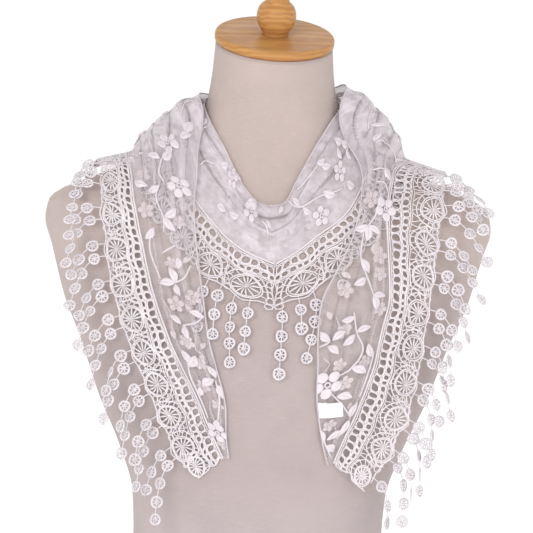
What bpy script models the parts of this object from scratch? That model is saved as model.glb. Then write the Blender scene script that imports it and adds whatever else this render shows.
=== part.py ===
"""A triangular lace shawl, wrapped point to the front, on a limbless linen dress form.

The form stands on its flat base with the origin at the base's middle, +Z up, facing -Y.
Sizes are in millimetres until a mesh is made.  The shawl is a net triangle with a mitred lace
border and a disc fringe.  Each stretch of it is a surface between guide lines (hem, seam and
edge), pushed clear of the form, then given a wall on both sides of that surface.
"""

import math

import bmesh
import bpy
import numpy as np

MM = 0.001

# ---- dress form ------------------------------------------------------------------------------
# level, half width, half depth, centre y
FORM_LEVELS = np.array([
    (0, 162, 106, 2),
    (50, 158, 106, 3),
    (100, 145, 98, 4),
    (150, 127, 86, 3),
    (195, 119, 79, 2),
    (235, 121, 83, 0),
    (281, 134.6, 93, -4),
    (329, 155, 103, -8),
    (383, 174, 106, -10),
    (421, 190, 101, -7),
    (470, 204, 93, -3),
    (494, 211, 88, 0),
    (511, 208, 84, 2),
    (522, 194, 81, 3),
    (533, 167, 78, 5),
    (541, 150, 76, 6),
    (548, 131, 74, 7),
    (560, 105, 70, 8),
    (570, 86, 67, 8),
    (584, 71, 63.5, 7),
    (600, 63, 61, 5),
    (616, 60, 59, 3),
    (638, 57, 57, 0),
    (664, 55, 56, -3),
], float)
SQUARENESS = 2.25
FORM_SIDES = 28
NECK_TILT_FROM = 616.0
NECK_TILT = math.radians(19.0)
NECK_LEAN = math.radians(2.7)

CAP_RADIUS = 56.4
CAP_THICKNESS = 9.0
CAP_EDGE_RADIUS = 3.0
CAP_SIDES = 24
FINIAL_SIDES = 16
# height above the cap, radius
FINIAL_PROFILE = (
    (0.0, 12.5), (3.0, 13.2), (7.0, 15.8), (12.0, 17.9), (18.0, 18.6), (24.0, 17.4),
    (28.0, 15.0), (31.0, 11.6), (35.0, 10.8), (38.0, 12.2), (43.0, 12.4), (48.0, 9.8),
    (51.0, 4.5),
)

# ---- cloth -----------------------------------------------------------------------------------
WALL = 1.3
SEAM_GAP = 0.4
TOUCH_GAP = 0.3
WHEEL_PITCH = 30.0
COLUMNS_PER_WHEEL = 3
COLUMN = WHEEL_PITCH / COLUMNS_PER_WHEEL
NET_ROWS = 5
FALL_NET_STEP = 2
BORDER_LINES = (0.0, 0.34)
SCALLOP = (0.90, 0.90, 1.0)
# row of cells, column in the wheel's repeat, then how far in from each side its hole starts
LACE_HOLES = (
    (0, 0, (0.12, 0.12, 0.26, 0.14)),
    (0, 1, (0.12, 0.12, 0.26, 0.14)),
    (0, 2, (0.12, 0.12, 0.26, 0.14)),
    (1, 0, (0.14, 0.14, 0.12, 0.50)),
)

STRIP_WIDTH = 2.4
CORD_HALF = 0.9
DISC_RADIUS = 5.5
DISC_HALF_THICKNESS = 0.7
ROOT_LENGTH = 5.0
DISC_PITCH = 17.0
HANG_LENGTH = 18.0
STRAND_CLEARANCE = 1.9
# each strand lies over the next one down, and the first of each pair over the second
SHINGLE_SLOPE = 0.22
COWL_SHINGLE_SLOPE = 0.04
STRAND_LIFTS = (0.0, 2.4, 0.0)
LAYER_EASE = 9.0
FULL_FOLD_WIDTH = 80.0

# Columns of a stretch: hem x y z, seam x y z, edge x y z, rise, clearance
LEFT_SECTIONS = (
    (28, 60, 606, 16, 78, 560, 6, 88, 520, 2, 1.2),
    (-6, 62, 609, -14, 78, 560, -20, 88, 519, 2, 1.2),
    (-44, 48, 611, -55, 70, 556, -60, 82, 518, 3, 3.0),
    (-63, 22, 614, -95, 60, 549, -113, 72, 521, 7, 7.5),
    (-68, -8, 613, -121, 30, 549, -146, 52, 532, 7, 8.0),
    (-69, -35, 602, -129, -5, 549, -163, 15, 539, 7, 8.5),
    (-68, -58, 574, -129, -35, 545, -160, -10, 539, 8, 8.5),
    (-66, -74, 543, -126, -56, 538, -154, -34, 535, 8, 8.5),
    (-67, -84, 514, -121, -77, 512, -149, -56, 510, 6, 8.5),
    (-64, -95, 483, -113, -88, 481, -145, -70, 478, 4, 8.0),
    (-60, -102, 458, -106, -95, 454, -140, -79, 447, 3, 7.5),
    (-55, -109, 430, -98, -102, 428, -132, -88, 418, 3, 7.5),
    (-50, -117, 400, -87, -109, 400, -122, -96, 387, 3, 5.0),
    (-42, -120, 370, -73, -115, 368, -109, -100, 351, 2, 1.6),
    (-33, -117, 338, -58, -113, 340, -95, -98, 320, 2, 1.6),
    (-31, -109, 305, -44, -107, 308, -79, -91, 285, 1, 1.6),
    (-28, -103, 283, -33, -101, 284, -57, -91, 262, 0, 1.6),
)
RIGHT_SECTIONS = (
    (-44, 56, 606, -26, 78, 560, -10, 90, 521, 2, 9.5),
    (0, 62, 610, 8, 80, 561, 16, 90, 521, 4, 9.5),
    (44, 48, 619, 56, 72, 557, 64, 84, 520, 8, 9.0),
    (64, 20, 627, 94, 62, 550, 115, 74, 523, 9, 9.0),
    (69, -8, 625, 119, 32, 551, 148, 54, 533, 9, 9.0),
    (72, -34, 612, 126, 0, 553, 165, 18, 539, 10, 8.2),
    (78, -56, 585, 121, -30, 554, 163, -10, 538, 10, 8.2),
    (84, -69, 556, 112, -52, 547, 160, -34, 532, 9, 9.0),
    (83, -80, 522, 106, -74, 517, 156, -54, 509, 5, 9.0),
    (76, -90, 489, 108, -87, 486, 153, -70, 480, 3, 8.5),
    (62, -103, 458, 110, -93, 458, 151, -76, 452, 3, 8.0),
    (51, -109, 434, 111, -97, 433, 149, -82, 423, 3, 6.5),
    (48, -116, 405, 105, -104, 405, 146, -86, 391, 3, 5.5),
    (49, -119, 372, 99, -107, 372, 140, -89, 354, 2, 3.5),
    (50, -115, 340, 91, -107, 342, 132, -91, 319, 2, 1.6),
    (56, -105, 304, 77, -101, 308, 117, -86, 283, 1, 1.6),
    (63, -97, 279, 68, -96, 281, 95, -84, 258, 0, 1.6),
)
COWL_LEFT_SECTIONS = (
    (0, -86, 516, 8, -104, 466, 8, -113, 424, 6, 2.0),
    (-12, -84, 520, -18, -101, 476, -32, -110, 438, 6, 2.0),
    (-27, -76, 538, -38, -95, 489, -60, -104, 455, 4, 2.0),
    (-42, -62, 566, -62, -84, 514, -92, -91, 485, 2, 2.0),
    (-57, -42, 588, -78, -70, 536, -110, -78, 508, 1, 2.0),
    (-63, -20, 601, -88, -38, 560, -124, -44, 538, 1, 2.0),
    (-62, 8, 608, -88, 4, 568, -120, 4, 549, 1, 2.0),
    (-54, 30, 611, -78, 34, 572, -100, 42, 552, 0, 2.0),
)
COWL_RIGHT_SECTIONS = (
    (0, -86, 516, 8, -104, 466, 8, -113, 424, 6, 2.0),
    (15, -84, 520, 27, -100, 478, 41, -109, 440, 6, 2.0),
    (25, -77, 540, 47, -94, 494, 70, -100, 461, 4, 2.0),
    (41, -60, 570, 70, -84, 512, 100, -90, 488, 2, 2.0),
    (56, -42, 592, 84, -68, 536, 122, -70, 517, 1, 2.0),
    (63, -20, 603, 91, -36, 560, 128, -42, 538, 1, 2.0),
    (62, 8, 609, 88, 4, 568, 120, 4, 549, 1, 2.0),
    (54, 30, 611, 78, 34, 572, 100, 42, 552, 0, 2.0),
)
# first section, last section, place across at each, half width, height
LEFT_FOLDS = (
    (3.0, 9.0, 0.25, 0.24, 0.12, 5.0),
    (3.2, 10.0, 0.52, 0.54, 0.10, 5.0),
    (3.5, 7.5, 0.78, 0.80, 0.09, 3.5),
    (8.0, 14.0, 0.30, 0.42, 0.12, 3.0),
    (10.0, 15.5, 0.78, 0.66, 0.12, 2.5),
)
RIGHT_FOLDS = (
    (0.0, 7.5, 0.26, 0.24, 0.12, 5.0),
    (1.5, 8.5, 0.54, 0.50, 0.10, 5.0),
    (3.0, 7.0, 0.80, 0.78, 0.09, 3.5),
    (8.5, 15.0, 0.34, 0.26, 0.12, 3.0),
    (9.5, 14.5, 0.72, 0.80, 0.11, 3.0),
)
COWL_FOLDS = (
    (-1.0, 2.8, 0.12, 0.06, 0.09, 4.5),
    (-1.0, 2.8, 0.38, 0.42, 0.10, 4.5),
    (-1.0, 2.6, 0.66, 0.76, 0.09, 3.0),
)
# how far hem, seam and edge may stand off past the clearance
LEFT_SLACK = (1.0, 0.5, 1.5)
RIGHT_SLACK = (1.5, 1.5, 16.0)
COWL_SLACK = (1.5, 0.5, 0.5)

WRAP_COLUMNS = 30
THIN_FRINGE_COLUMNS = 23
BARE_CREST_COLUMNS = (18, 23)
COWL_CUT_COLUMNS = 15
# discs and lifts of the cowl's strands by column, out from its point
COWL_LEFT_DISCS = (0, 3, 4, 3, 3)
COWL_RIGHT_DISCS = (4, 2, 4, 0, 1)
COWL_LIFTS = (0.0, 2.4, 0.0, 2.4, 0.0)

# column along the fringe, then how far its strands lean in x and y for each step down
LEFT_WRAP_LEAN = (
    (0, 0.0, 0.2), (14, -0.1, 0.5), (20, 0.2, 1.0), (22, 0.4, -1.5), (26, 0.1, -0.8),
    (29, 0.0, -0.5),
)
RIGHT_WRAP_LEAN = (
    (0, 0.0, 0.2), (14, 0.1, 0.5), (20, 0.1, 0.9), (22, 0.2, -0.9), (26, 0.3, -0.6),
    (29, 0.4, -0.4),
)
LEFT_FALL_LEAN = ((0, 0.0, -0.4), (20, 0.05, 0.0))
RIGHT_FALL_LEAN = ((0, 0.36, -0.4), (4, 0.1, -0.25), (8, -0.1, -0.1), (20, -0.3, 0.0))
COWL_LEFT_LEAN = ((0, 0.0, 0.0), (1, 0.0, 0.0), (4, 0.15, 0.0))
COWL_RIGHT_LEAN = ((0, 0.05, 0.0), (1, -0.1, 0.0), (2, -0.35, 0.0))

LABEL_FROM_TIP = 53.0
LABEL_LENGTH = 22.0
LABEL_ACROSS = 14.0
LABEL_THICKNESS = 0.8


def read_curve(values, at):
    """Read a smooth curve through evenly numbered rows at the places asked for."""
    values = np.asarray(values, float)
    last = len(values) - 1
    at = np.clip(np.asarray(at, float), 0.0, last)
    first = np.clip(np.floor(at).astype(int), 0, last - 1)
    before = values[np.clip(first - 1, 0, last)]
    start = values[first]
    end = values[first + 1]
    after = values[np.clip(first + 2, 0, last)]
    t = (at - first)[:, None]
    slope_in = np.where((first == 0)[:, None], end - start, (end - before) / 2)
    slope_out = np.where((first == last - 1)[:, None], end - start, (after - start) / 2)
    return (
        (2 * t**3 - 3 * t**2 + 1) * start
        + (t**3 - 2 * t**2 + t) * slope_in
        + (3 * t**2 - 2 * t**3) * end
        + (t**3 - t**2) * slope_out
    )


def level_slopes():
    """Slopes that keep the form's profile smooth and free of bumps between its levels."""
    level = FORM_LEVELS[:, 0]
    sizes = FORM_LEVELS[:, 1:]
    step = np.diff(level)[:, None]
    rate = np.diff(sizes, axis=0) / step
    slopes = np.zeros_like(sizes)
    slopes[0] = rate[0]
    slopes[-1] = rate[-1]
    before = rate[:-1]
    after = rate[1:]
    weight_a = 2 * step[1:] + step[:-1]
    weight_b = step[1:] + 2 * step[:-1]
    same = before * after > 0
    safe_before = np.where(same, before, 1.0)
    safe_after = np.where(same, after, 1.0)
    mean = (weight_a + weight_b) / (weight_a / safe_before + weight_b / safe_after)
    slopes[1:-1] = np.where(same, mean, 0.0)
    return slopes


FORM_SLOPES = level_slopes()


def form_size(height):
    """Half width, half depth and centre y of the form at a height."""
    level = FORM_LEVELS[:, 0]
    height = np.clip(height, level[0], level[-1])
    row = np.clip(np.searchsorted(level, height) - 1, 0, len(level) - 2)
    step = (level[row + 1] - level[row])[..., None]
    t = (height - level[row])[..., None] / step
    size = (
        (1 + 2 * t) * (1 - t)**2 * FORM_LEVELS[row, 1:]
        + t * (1 - t)**2 * step * FORM_SLOPES[row]
        + t * t * (3 - 2 * t) * FORM_LEVELS[row + 1, 1:]
        + t * t * (t - 1) * step * FORM_SLOPES[row + 1]
    )
    return size[..., 0], size[..., 1], size[..., 2]


def form_ratio(points):
    """Nought on the form's surface, growing outwards."""
    width, depth, centre = form_size(points[..., 2])
    across = np.abs(points[..., 0] / width)**SQUARENESS
    along = np.abs((points[..., 1] - centre) / depth)**SQUARENESS
    return (across + along)**(1 / SQUARENESS) - 1


def form_gap(points):
    """Distance from the form and the direction away from it."""
    reach = 0.5
    gradient = np.stack([
        (form_ratio(points + reach * side) - form_ratio(points - reach * side)) / (2 * reach)
        for side in np.eye(3)
    ], axis=-1)
    steepness = np.linalg.norm(gradient, axis=-1)
    return form_ratio(points) / steepness, gradient / steepness[..., None]


def settle(points, clearance, slack=math.inf):
    """Bring points to between the clearance and the clearance plus the slack off the form."""
    for _ in range(4):
        gap, outward = form_gap(points)
        push = np.clip(gap, clearance, clearance + slack) - gap
        points = points + push[..., None] * outward
    return points


def unit(vectors):
    """Vectors scaled to a length of one."""
    return vectors / np.linalg.norm(vectors, axis=-1, keepdims=True)


class Stretch:
    """One run of the shawl between its hem, border seam and scalloped edge."""

    def __init__(self, sections, folds, slack):
        sections = np.array(sections, float)
        self.sections = sections
        self.folds = folds
        self.slack = slack
        fine = np.linspace(0.0, len(sections) - 1, 60 * len(sections))
        seam = read_curve(sections[:, 3:6], fine)
        steps = np.linalg.norm(np.diff(seam, axis=0), axis=1)
        self.fine = fine
        self.travel = np.concatenate([[0.0], np.cumsum(steps)])
        self.length = self.travel[-1]

    def fold_height(self, place, across):
        """Height of the raised folds at a place along and across the net."""
        height = np.zeros(np.broadcast(place, across).shape)
        for first, last, start, end, half_width, tall in self.folds:
            along = (place - first) / (last - first)
            centre = start + (end - start) * along
            fade = np.sin(math.pi * np.clip(along, 0.0, 1.0))**0.6
            height += tall * fade * np.exp(-((across - centre) / half_width)**2)
        return height

    def surface(self, travel, across):
        """Points at distances along the seam; across runs hem -1, seam 0, edge 1."""
        place = np.interp(travel, self.travel, self.fine)
        row = read_curve(self.sections, place)[:, None, :]
        rise, clearance = row[..., 9], row[..., 10]
        hem, seam, edge = (
            settle(row[..., 3 * line:3 * line + 3], clearance, self.slack[line])
            for line in range(3)
        )
        across = np.asarray(across, float)
        if across.ndim == 1:
            across = np.broadcast_to(across, (len(place), len(across)))
        net = np.clip(across + 1, 0.0, 1.0)
        lace = np.maximum(across, 0.0)
        chord = hem + (seam - hem) * net[..., None] + (edge - seam) * lace[..., None]
        _, outward = form_gap((hem + seam) / 2)
        swell = 4 * net * (1 - net) * rise
        width = np.linalg.norm(seam - hem, axis=-1)
        folds = self.fold_height(place[:, None], net) * (across < 0)
        folds *= np.clip(width / FULL_FOLD_WIDTH, 0.0, 1.0)
        folds *= np.clip(-across / 0.08, 0.0, 1.0)
        points = settle(chord + swell[..., None] * outward, clearance)
        _, outward = form_gap(points)
        return points + folds[..., None] * outward

    def widths(self, travel):
        """Width of the net and of the lace at distances along the seam."""
        place = np.interp(travel, self.travel, self.fine)
        row = read_curve(self.sections, place)
        net = np.linalg.norm(row[:, 3:6] - row[:, 0:3], axis=1)
        lace = np.linalg.norm(row[:, 6:9] - row[:, 3:6], axis=1)
        return net, lace

    def wall(self, travel, across):
        """Outer and inner points of the wall, and its outward normals."""
        travel = np.asarray(travel, float)
        middle = self.surface(travel, across)
        reach = 1.5
        slip = 0.03
        along = self.surface(travel + reach, across) - self.surface(travel - reach, across)
        sideways = self.surface(travel, across + slip) - self.surface(travel, across - slip)
        normal = unit(np.cross(along, sideways))
        _, outward = form_gap(middle)
        normal = normal * math.copysign(1.0, float(np.sum(normal * outward)))
        return middle + normal * WALL / 2, middle - normal * WALL / 2, normal


def columns(first, last, step=1):
    """Distances along a seam from one column to another."""
    numbers = list(range(first, last, step)) + [last]
    return np.array(numbers) * COLUMN


def part_ends(travel):
    """Draw the end columns in by half a seam's gap."""
    travel = travel.astype(float).copy()
    travel[0] += SEAM_GAP / 2
    travel[-1] -= SEAM_GAP / 2
    return travel


def net_lines(stretch, travel, rows=NET_ROWS):
    """Across values for the net, from the hem to just short of the seam."""
    net, _ = stretch.widths(travel)
    end = -(SEAM_GAP / 2) / net
    return -1 + (end[:, None] + 1) * np.linspace(0.0, 1.0, rows + 1)[None, :]


def scallop_line(first, count):
    """Across value of the scalloped edge at each column."""
    return np.array([SCALLOP[(first + i) % COLUMNS_PER_WHEEL] for i in range(count)])


def border_lines(stretch, travel, first):
    """Across values for the lace, from just past the seam to its scallops."""
    _, lace = stretch.widths(travel)
    lines = np.tile(np.array(BORDER_LINES), (len(travel), 1))
    lines[:, 0] = (SEAM_GAP / 2) / lace
    return np.column_stack([lines, scallop_line(first, len(travel))])


def strip_lines(stretch, travel, first):
    """Across values for the fringe's strip, just past the scallops."""
    _, lace = stretch.widths(travel)
    edge = scallop_line(first, len(travel))
    return np.column_stack([edge + TOUCH_GAP / lace, edge + (TOUCH_GAP + STRIP_WIDTH) / lace])


def lace_cells(first, count):
    """Holes of the lace by cell, for columns numbered from the first."""
    holes = {}
    for index in range(count - 1):
        repeat = (first + index) % COLUMNS_PER_WHEEL
        for row, column, inset in LACE_HOLES:
            if column == repeat:
                holes[index, row] = inset
    return holes


def between(corners, u, v):
    """Point inside a four-cornered cell at fractions along both of its ways."""
    low = corners[0] * (1 - u) + corners[1] * u
    high = corners[3] * (1 - u) + corners[2] * u
    return low * (1 - v) + high * v


def make_material(name, colour, roughness, metallic=0.0):
    """A Principled material of one colour."""
    material = bpy.data.materials.new(name)
    material.use_nodes = True
    shader = material.node_tree.nodes["Principled BSDF"]
    shader.inputs["Base Color"].default_value = (*colour, 1.0)
    shader.inputs["Roughness"].default_value = roughness
    shader.inputs["Metallic"].default_value = metallic
    return material


def finish_object(name, mesh, material):
    """Close up a bmesh, turn its faces out and link it as a named object."""
    bmesh.ops.recalc_face_normals(mesh, faces=mesh.faces[:])
    if mesh.calc_volume(signed=True) < 0:
        bmesh.ops.reverse_faces(mesh, faces=mesh.faces[:])
    data = bpy.data.meshes.new(name)
    mesh.to_mesh(data)
    mesh.free()
    data.shade_smooth()
    data.set_sharp_from_angle(angle=math.radians(40))
    data.materials.append(material)
    thing = bpy.data.objects.new(name, data)
    bpy.context.scene.collection.objects.link(thing)
    return thing


def add_ring(mesh, points):
    """Vertices at points given in millimetres."""
    return [mesh.verts.new([float(c) * MM for c in point]) for point in points]


def bridge(mesh, low, high):
    """Four-sided faces between two closed rings of the same count."""
    count = len(low)
    for i in range(count):
        j = (i + 1) % count
        mesh.faces.new((low[i], low[j], high[j], high[i]))


def build_cloth(name, outer, inner, material, holes=None, strands=None):
    """A closed wall over a grid of cells, with holes cut inside cells and strands on its rim."""
    holes = holes or {}
    strands = strands or {}
    mesh = bmesh.new()
    across = outer.shape[0]
    up = outer.shape[1]
    top = [add_ring(mesh, row) for row in outer]
    under = [add_ring(mesh, row) for row in inner]
    for i in range(across - 1):
        for j in range(up - 1):
            cell = ((i, j), (i + 1, j), (i + 1, j + 1), (i, j + 1))
            if (i, j) not in holes:
                for half in (cell[:3], (cell[0], cell[2], cell[3])):
                    mesh.faces.new([top[a][b] for a, b in half])
                    mesh.faces.new([under[a][b] for a, b in reversed(half)])
                continue
            left, right, low, high = holes[i, j]
            corners = ((left, low), (1 - right, low), (1 - right, 1 - high), (left, 1 - high))
            rings = []
            for side, grid in ((top, outer), (under, inner)):
                points = [grid[a][b] for a, b in cell]
                ring = add_ring(mesh, [between(points, u, v) for u, v in corners])
                bridge(mesh, [side[a][b] for a, b in cell], ring)
                rings.append(ring)
            bridge(mesh, rings[0], rings[1])
    for i in range(across - 1):
        mesh.faces.new((top[i][0], under[i][0], under[i + 1][0], top[i + 1][0]))
        root = (top[i][-1], top[i + 1][-1], under[i + 1][-1], under[i][-1])
        if i in strands:
            grow_strand(mesh, root, strands[i])
        else:
            mesh.faces.new(root)
    for j in range(up - 1):
        mesh.faces.new((top[0][j], top[0][j + 1], under[0][j + 1], under[0][j]))
        mesh.faces.new((top[-1][j + 1], top[-1][j], under[-1][j], under[-1][j + 1]))
    return finish_object(name, mesh, material)


def grow_strand(mesh, root, rings):
    """Carry a strand of three-sided rings on from a four-sided face of the strip."""
    last = add_ring(mesh, rings[0])
    left, right, back = last
    mesh.faces.new((root[0], root[1], right, left))
    mesh.faces.new((root[1], root[2], back, right))
    mesh.faces.new((root[2], root[3], back))
    mesh.faces.new((root[3], root[0], left, back))
    for ring in rings[1:]:
        current = add_ring(mesh, ring)
        bridge(mesh, last, current)
        last = current
    mesh.faces.new(last)


def hang_strand(start, away, across, discs, slope, lift, drift):
    """Rings of a strand that leaves the edge and falls, with a flat disc at each step."""
    stations = [(ROOT_LENGTH, CORD_HALF)]
    for index in range(discs):
        travel = ROOT_LENGTH + DISC_PITCH * index
        stations.append((travel + DISC_PITCH / 2, DISC_RADIUS))
        stations.append((travel + DISC_PITCH, CORD_HALF))
    travel = stations[-1][0]
    step = 1.0
    point = np.array(start, float)
    pull = unit(np.array([drift[0], drift[1], -1.0]))
    track = [point]
    covered = 0.0
    while covered < travel + 3 * step:
        fall = 1 - math.exp(-covered / HANG_LENGTH)
        heading = unit(unit(away) * (1 - fall) + pull * fall)
        moved = settle((point + heading * step)[None], STRAND_CLEARANCE)[0]
        covered += max(float(np.linalg.norm(moved - point)), 0.2 * step)
        point = moved
        _, outward = form_gap(point[None])
        height = slope * covered + lift * min(covered / LAYER_EASE, 1.0)
        track.append(point + outward[0] * height)
    track = np.array(track)
    run = np.concatenate([[0.0], np.cumsum(np.linalg.norm(np.diff(track, axis=0), axis=1))])
    rings = []
    side = unit(np.asarray(across, float))
    for travel, half_width in stations:
        centre = np.array([np.interp(travel, run, track[:, k]) for k in range(3)])
        ahead = np.array([np.interp(travel + 2, run, track[:, k]) for k in range(3)])
        behind = np.array([np.interp(travel - 2, run, track[:, k]) for k in range(3)])
        heading = unit(ahead - behind)
        _, outward = form_gap(centre[None])
        level = np.cross(heading, outward[0])
        level = level * math.copysign(1.0, float(np.dot(level, side)))
        if np.linalg.norm(level) > 0.4:
            side = level
        side = unit(side - heading * np.dot(side, heading))
        normal = np.cross(heading, side)
        if not rings:
            handed = math.copysign(1.0, float(np.dot(normal, outward[0])))
        flat = side * half_width
        thick = normal * handed * DISC_HALF_THICKNESS
        rings.append((centre - flat + thick, centre + flat + thick, centre - thick))
    return rings


def fringe_strands(outer, inner, plan, lean, slope):
    """Strands for the columns of a strip; the plan gives each one's discs and lift."""
    strands = {}
    for column, (discs, lift) in plan.items():
        top = outer[column:column + 2, -1]
        under = inner[column:column + 2, -1]
        start = (top.mean(axis=0) + under.mean(axis=0)) / 2
        away = unit(start - (outer[column:column + 2, 0].mean(axis=0)))
        pull = [np.interp(column, [row[0] for row in lean], [row[k] for row in lean])
                for k in (1, 2)]
        strands[column] = hang_strand(start, away, top[1] - top[0], discs, slope, lift, pull)
    return strands


def build_net(name, stretch, first, last, material, rows=NET_ROWS, step=1):
    """The embroidered net between two columns."""
    travel = part_ends(columns(first, last, step))
    outer, inner, _ = stretch.wall(travel, net_lines(stretch, travel, rows))
    return build_cloth(name, outer, inner, material)


def build_border(name, stretch, first, last, material, cut_to):
    """The lace border between two columns, its largest gaps cut through up to a column."""
    travel = part_ends(columns(first, last))
    outer, inner, _ = stretch.wall(travel, border_lines(stretch, travel, first))
    return build_cloth(name, outer, inner, material, lace_cells(first, cut_to - first + 1))


def build_fringe(name, stretch, first, plan, material, lean, slope):
    """A fringe strip with its strands; the plan has the discs and lift of every column."""
    travel = part_ends(columns(first, first + len(plan)))
    outer, inner, _ = stretch.wall(travel, strip_lines(stretch, travel, first))
    hung = {index: pair for index, pair in enumerate(plan) if pair[0]}
    strands = fringe_strands(outer, inner, hung, lean, slope)
    return build_cloth(name, outer, inner, material, strands=strands)


def fringe_plan(first, last, discs):
    """Discs and lift of each column from one to another."""
    return [(discs(column), STRAND_LIFTS[column % COLUMNS_PER_WHEEL])
            for column in range(first, last)]


def full_fringe(column):
    """Discs on a strand: two strands under each wheel, the second one longer."""
    return (0, 3, 4)[column % COLUMNS_PER_WHEEL]


def thin_fringe(column):
    """Discs on a strand: one strand under each wheel."""
    return (0, 0, 3)[column % COLUMNS_PER_WHEEL]


def wrap_fringe(column):
    """Discs on a strand of a wrap: thin behind the shoulder, none on its crest, full before."""
    first, last = BARE_CREST_COLUMNS
    if first <= column < last:
        return 0
    return thin_fringe(column) if column < THIN_FRINGE_COLUMNS else full_fringe(column)


def build_cowl_net(left, right, reach, material):
    """The cowl's net in one piece, from one side of the neck round the front to the other."""
    sides = []
    for stretch in (left, right):
        travel = columns(0, reach).astype(float)
        outer, inner, _ = stretch.wall(travel, net_lines(stretch, travel))
        sides.append((outer, inner))
    middle_outer = (sides[0][0][0] + sides[1][0][0]) / 2
    middle_inner = (sides[0][1][0] + sides[1][1][0]) / 2
    outer = np.concatenate([sides[0][0][:0:-1], middle_outer[None], sides[1][0][1:]])
    inner = np.concatenate([sides[0][1][:0:-1], middle_inner[None], sides[1][1][1:]])
    return build_cloth("cowl_net", outer, inner, material)


def build_label(stretch, material):
    """A blank sewn label that lies on the net beside the hem."""
    start = stretch.length - LABEL_FROM_TIP - LABEL_ACROSS
    travel = np.linspace(start, start + LABEL_ACROSS, 3)
    net, _ = stretch.widths(travel)
    reach = np.linspace(1.0, 1.0 + LABEL_LENGTH, 4)
    across = -1 + reach[None, :] / net[:, None]
    outer, _, normal = stretch.wall(travel, across)
    inner = outer + normal * TOUCH_GAP
    return build_cloth("label", inner + normal * LABEL_THICKNESS, inner, material)


def neck_axes():
    """Unit vectors across, along and out of the plane that tops the neck."""
    out = unit(np.array([math.tan(NECK_LEAN), -math.tan(NECK_TILT), 1.0]))
    across = unit(np.array([1.0, 0.0, -math.tan(NECK_LEAN)]))
    return across, np.cross(out, across), out


def build_lathe(name, profile, sides, material, place):
    """A turned solid from heights and radii, square to the top of the neck."""
    mesh = bmesh.new()
    across, along, out = neck_axes()
    rings = []
    for height, radius in profile:
        ring = []
        for k in range(sides):
            angle = 2 * math.pi * k / sides
            x, y = radius * math.cos(angle), radius * math.sin(angle)
            ring.append(tuple(place + x * across + y * along + height * out))
        rings.append(add_ring(mesh, ring))
    for low, high in zip(rings, rings[1:]):
        bridge(mesh, low, high)
    mesh.faces.new(rings[0])
    mesh.faces.new(rings[-1])
    return finish_object(name, mesh, material)


def build_torso(material):
    """The linen form: neck, shoulders, waist and hips, closed flat at the base."""
    mesh = bmesh.new()
    rings = []
    for level, width, depth, centre in FORM_LEVELS:
        ring = []
        tilt = max(level - NECK_TILT_FROM, 0.0) / (FORM_LEVELS[-1, 0] - NECK_TILT_FROM)
        for k in range(FORM_SIDES):
            angle = 2 * math.pi * k / FORM_SIDES
            sine, cosine = math.sin(angle), math.cos(angle)
            across = abs(sine / width)**SQUARENESS + abs(cosine / depth)**SQUARENESS
            radius = across**(-1 / SQUARENESS)
            x, y = radius * sine, -radius * cosine
            slant = math.tan(NECK_TILT) * y - math.tan(NECK_LEAN) * x
            ring.append((x, centre + y, level + tilt * slant))
        rings.append(add_ring(mesh, ring))
    for low, high in zip(rings, rings[1:]):
        bridge(mesh, low, high)
    mesh.faces.new(rings[0])
    mesh.faces.new(rings[-1])
    return finish_object("torso", mesh, material)


def cap_profile():
    """Heights and radii of the wooden neck cap, its edges rounded."""
    bend = CAP_EDGE_RADIUS
    points = []
    for quarter, base in ((-1, bend), (1, CAP_THICKNESS - bend)):
        for step in range(3):
            angle = math.radians(45 * (step if quarter > 0 else 2 - step)) * quarter
            points.append((base + bend * math.sin(angle),
                           CAP_RADIUS - bend + bend * math.cos(angle)))
    return points


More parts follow.
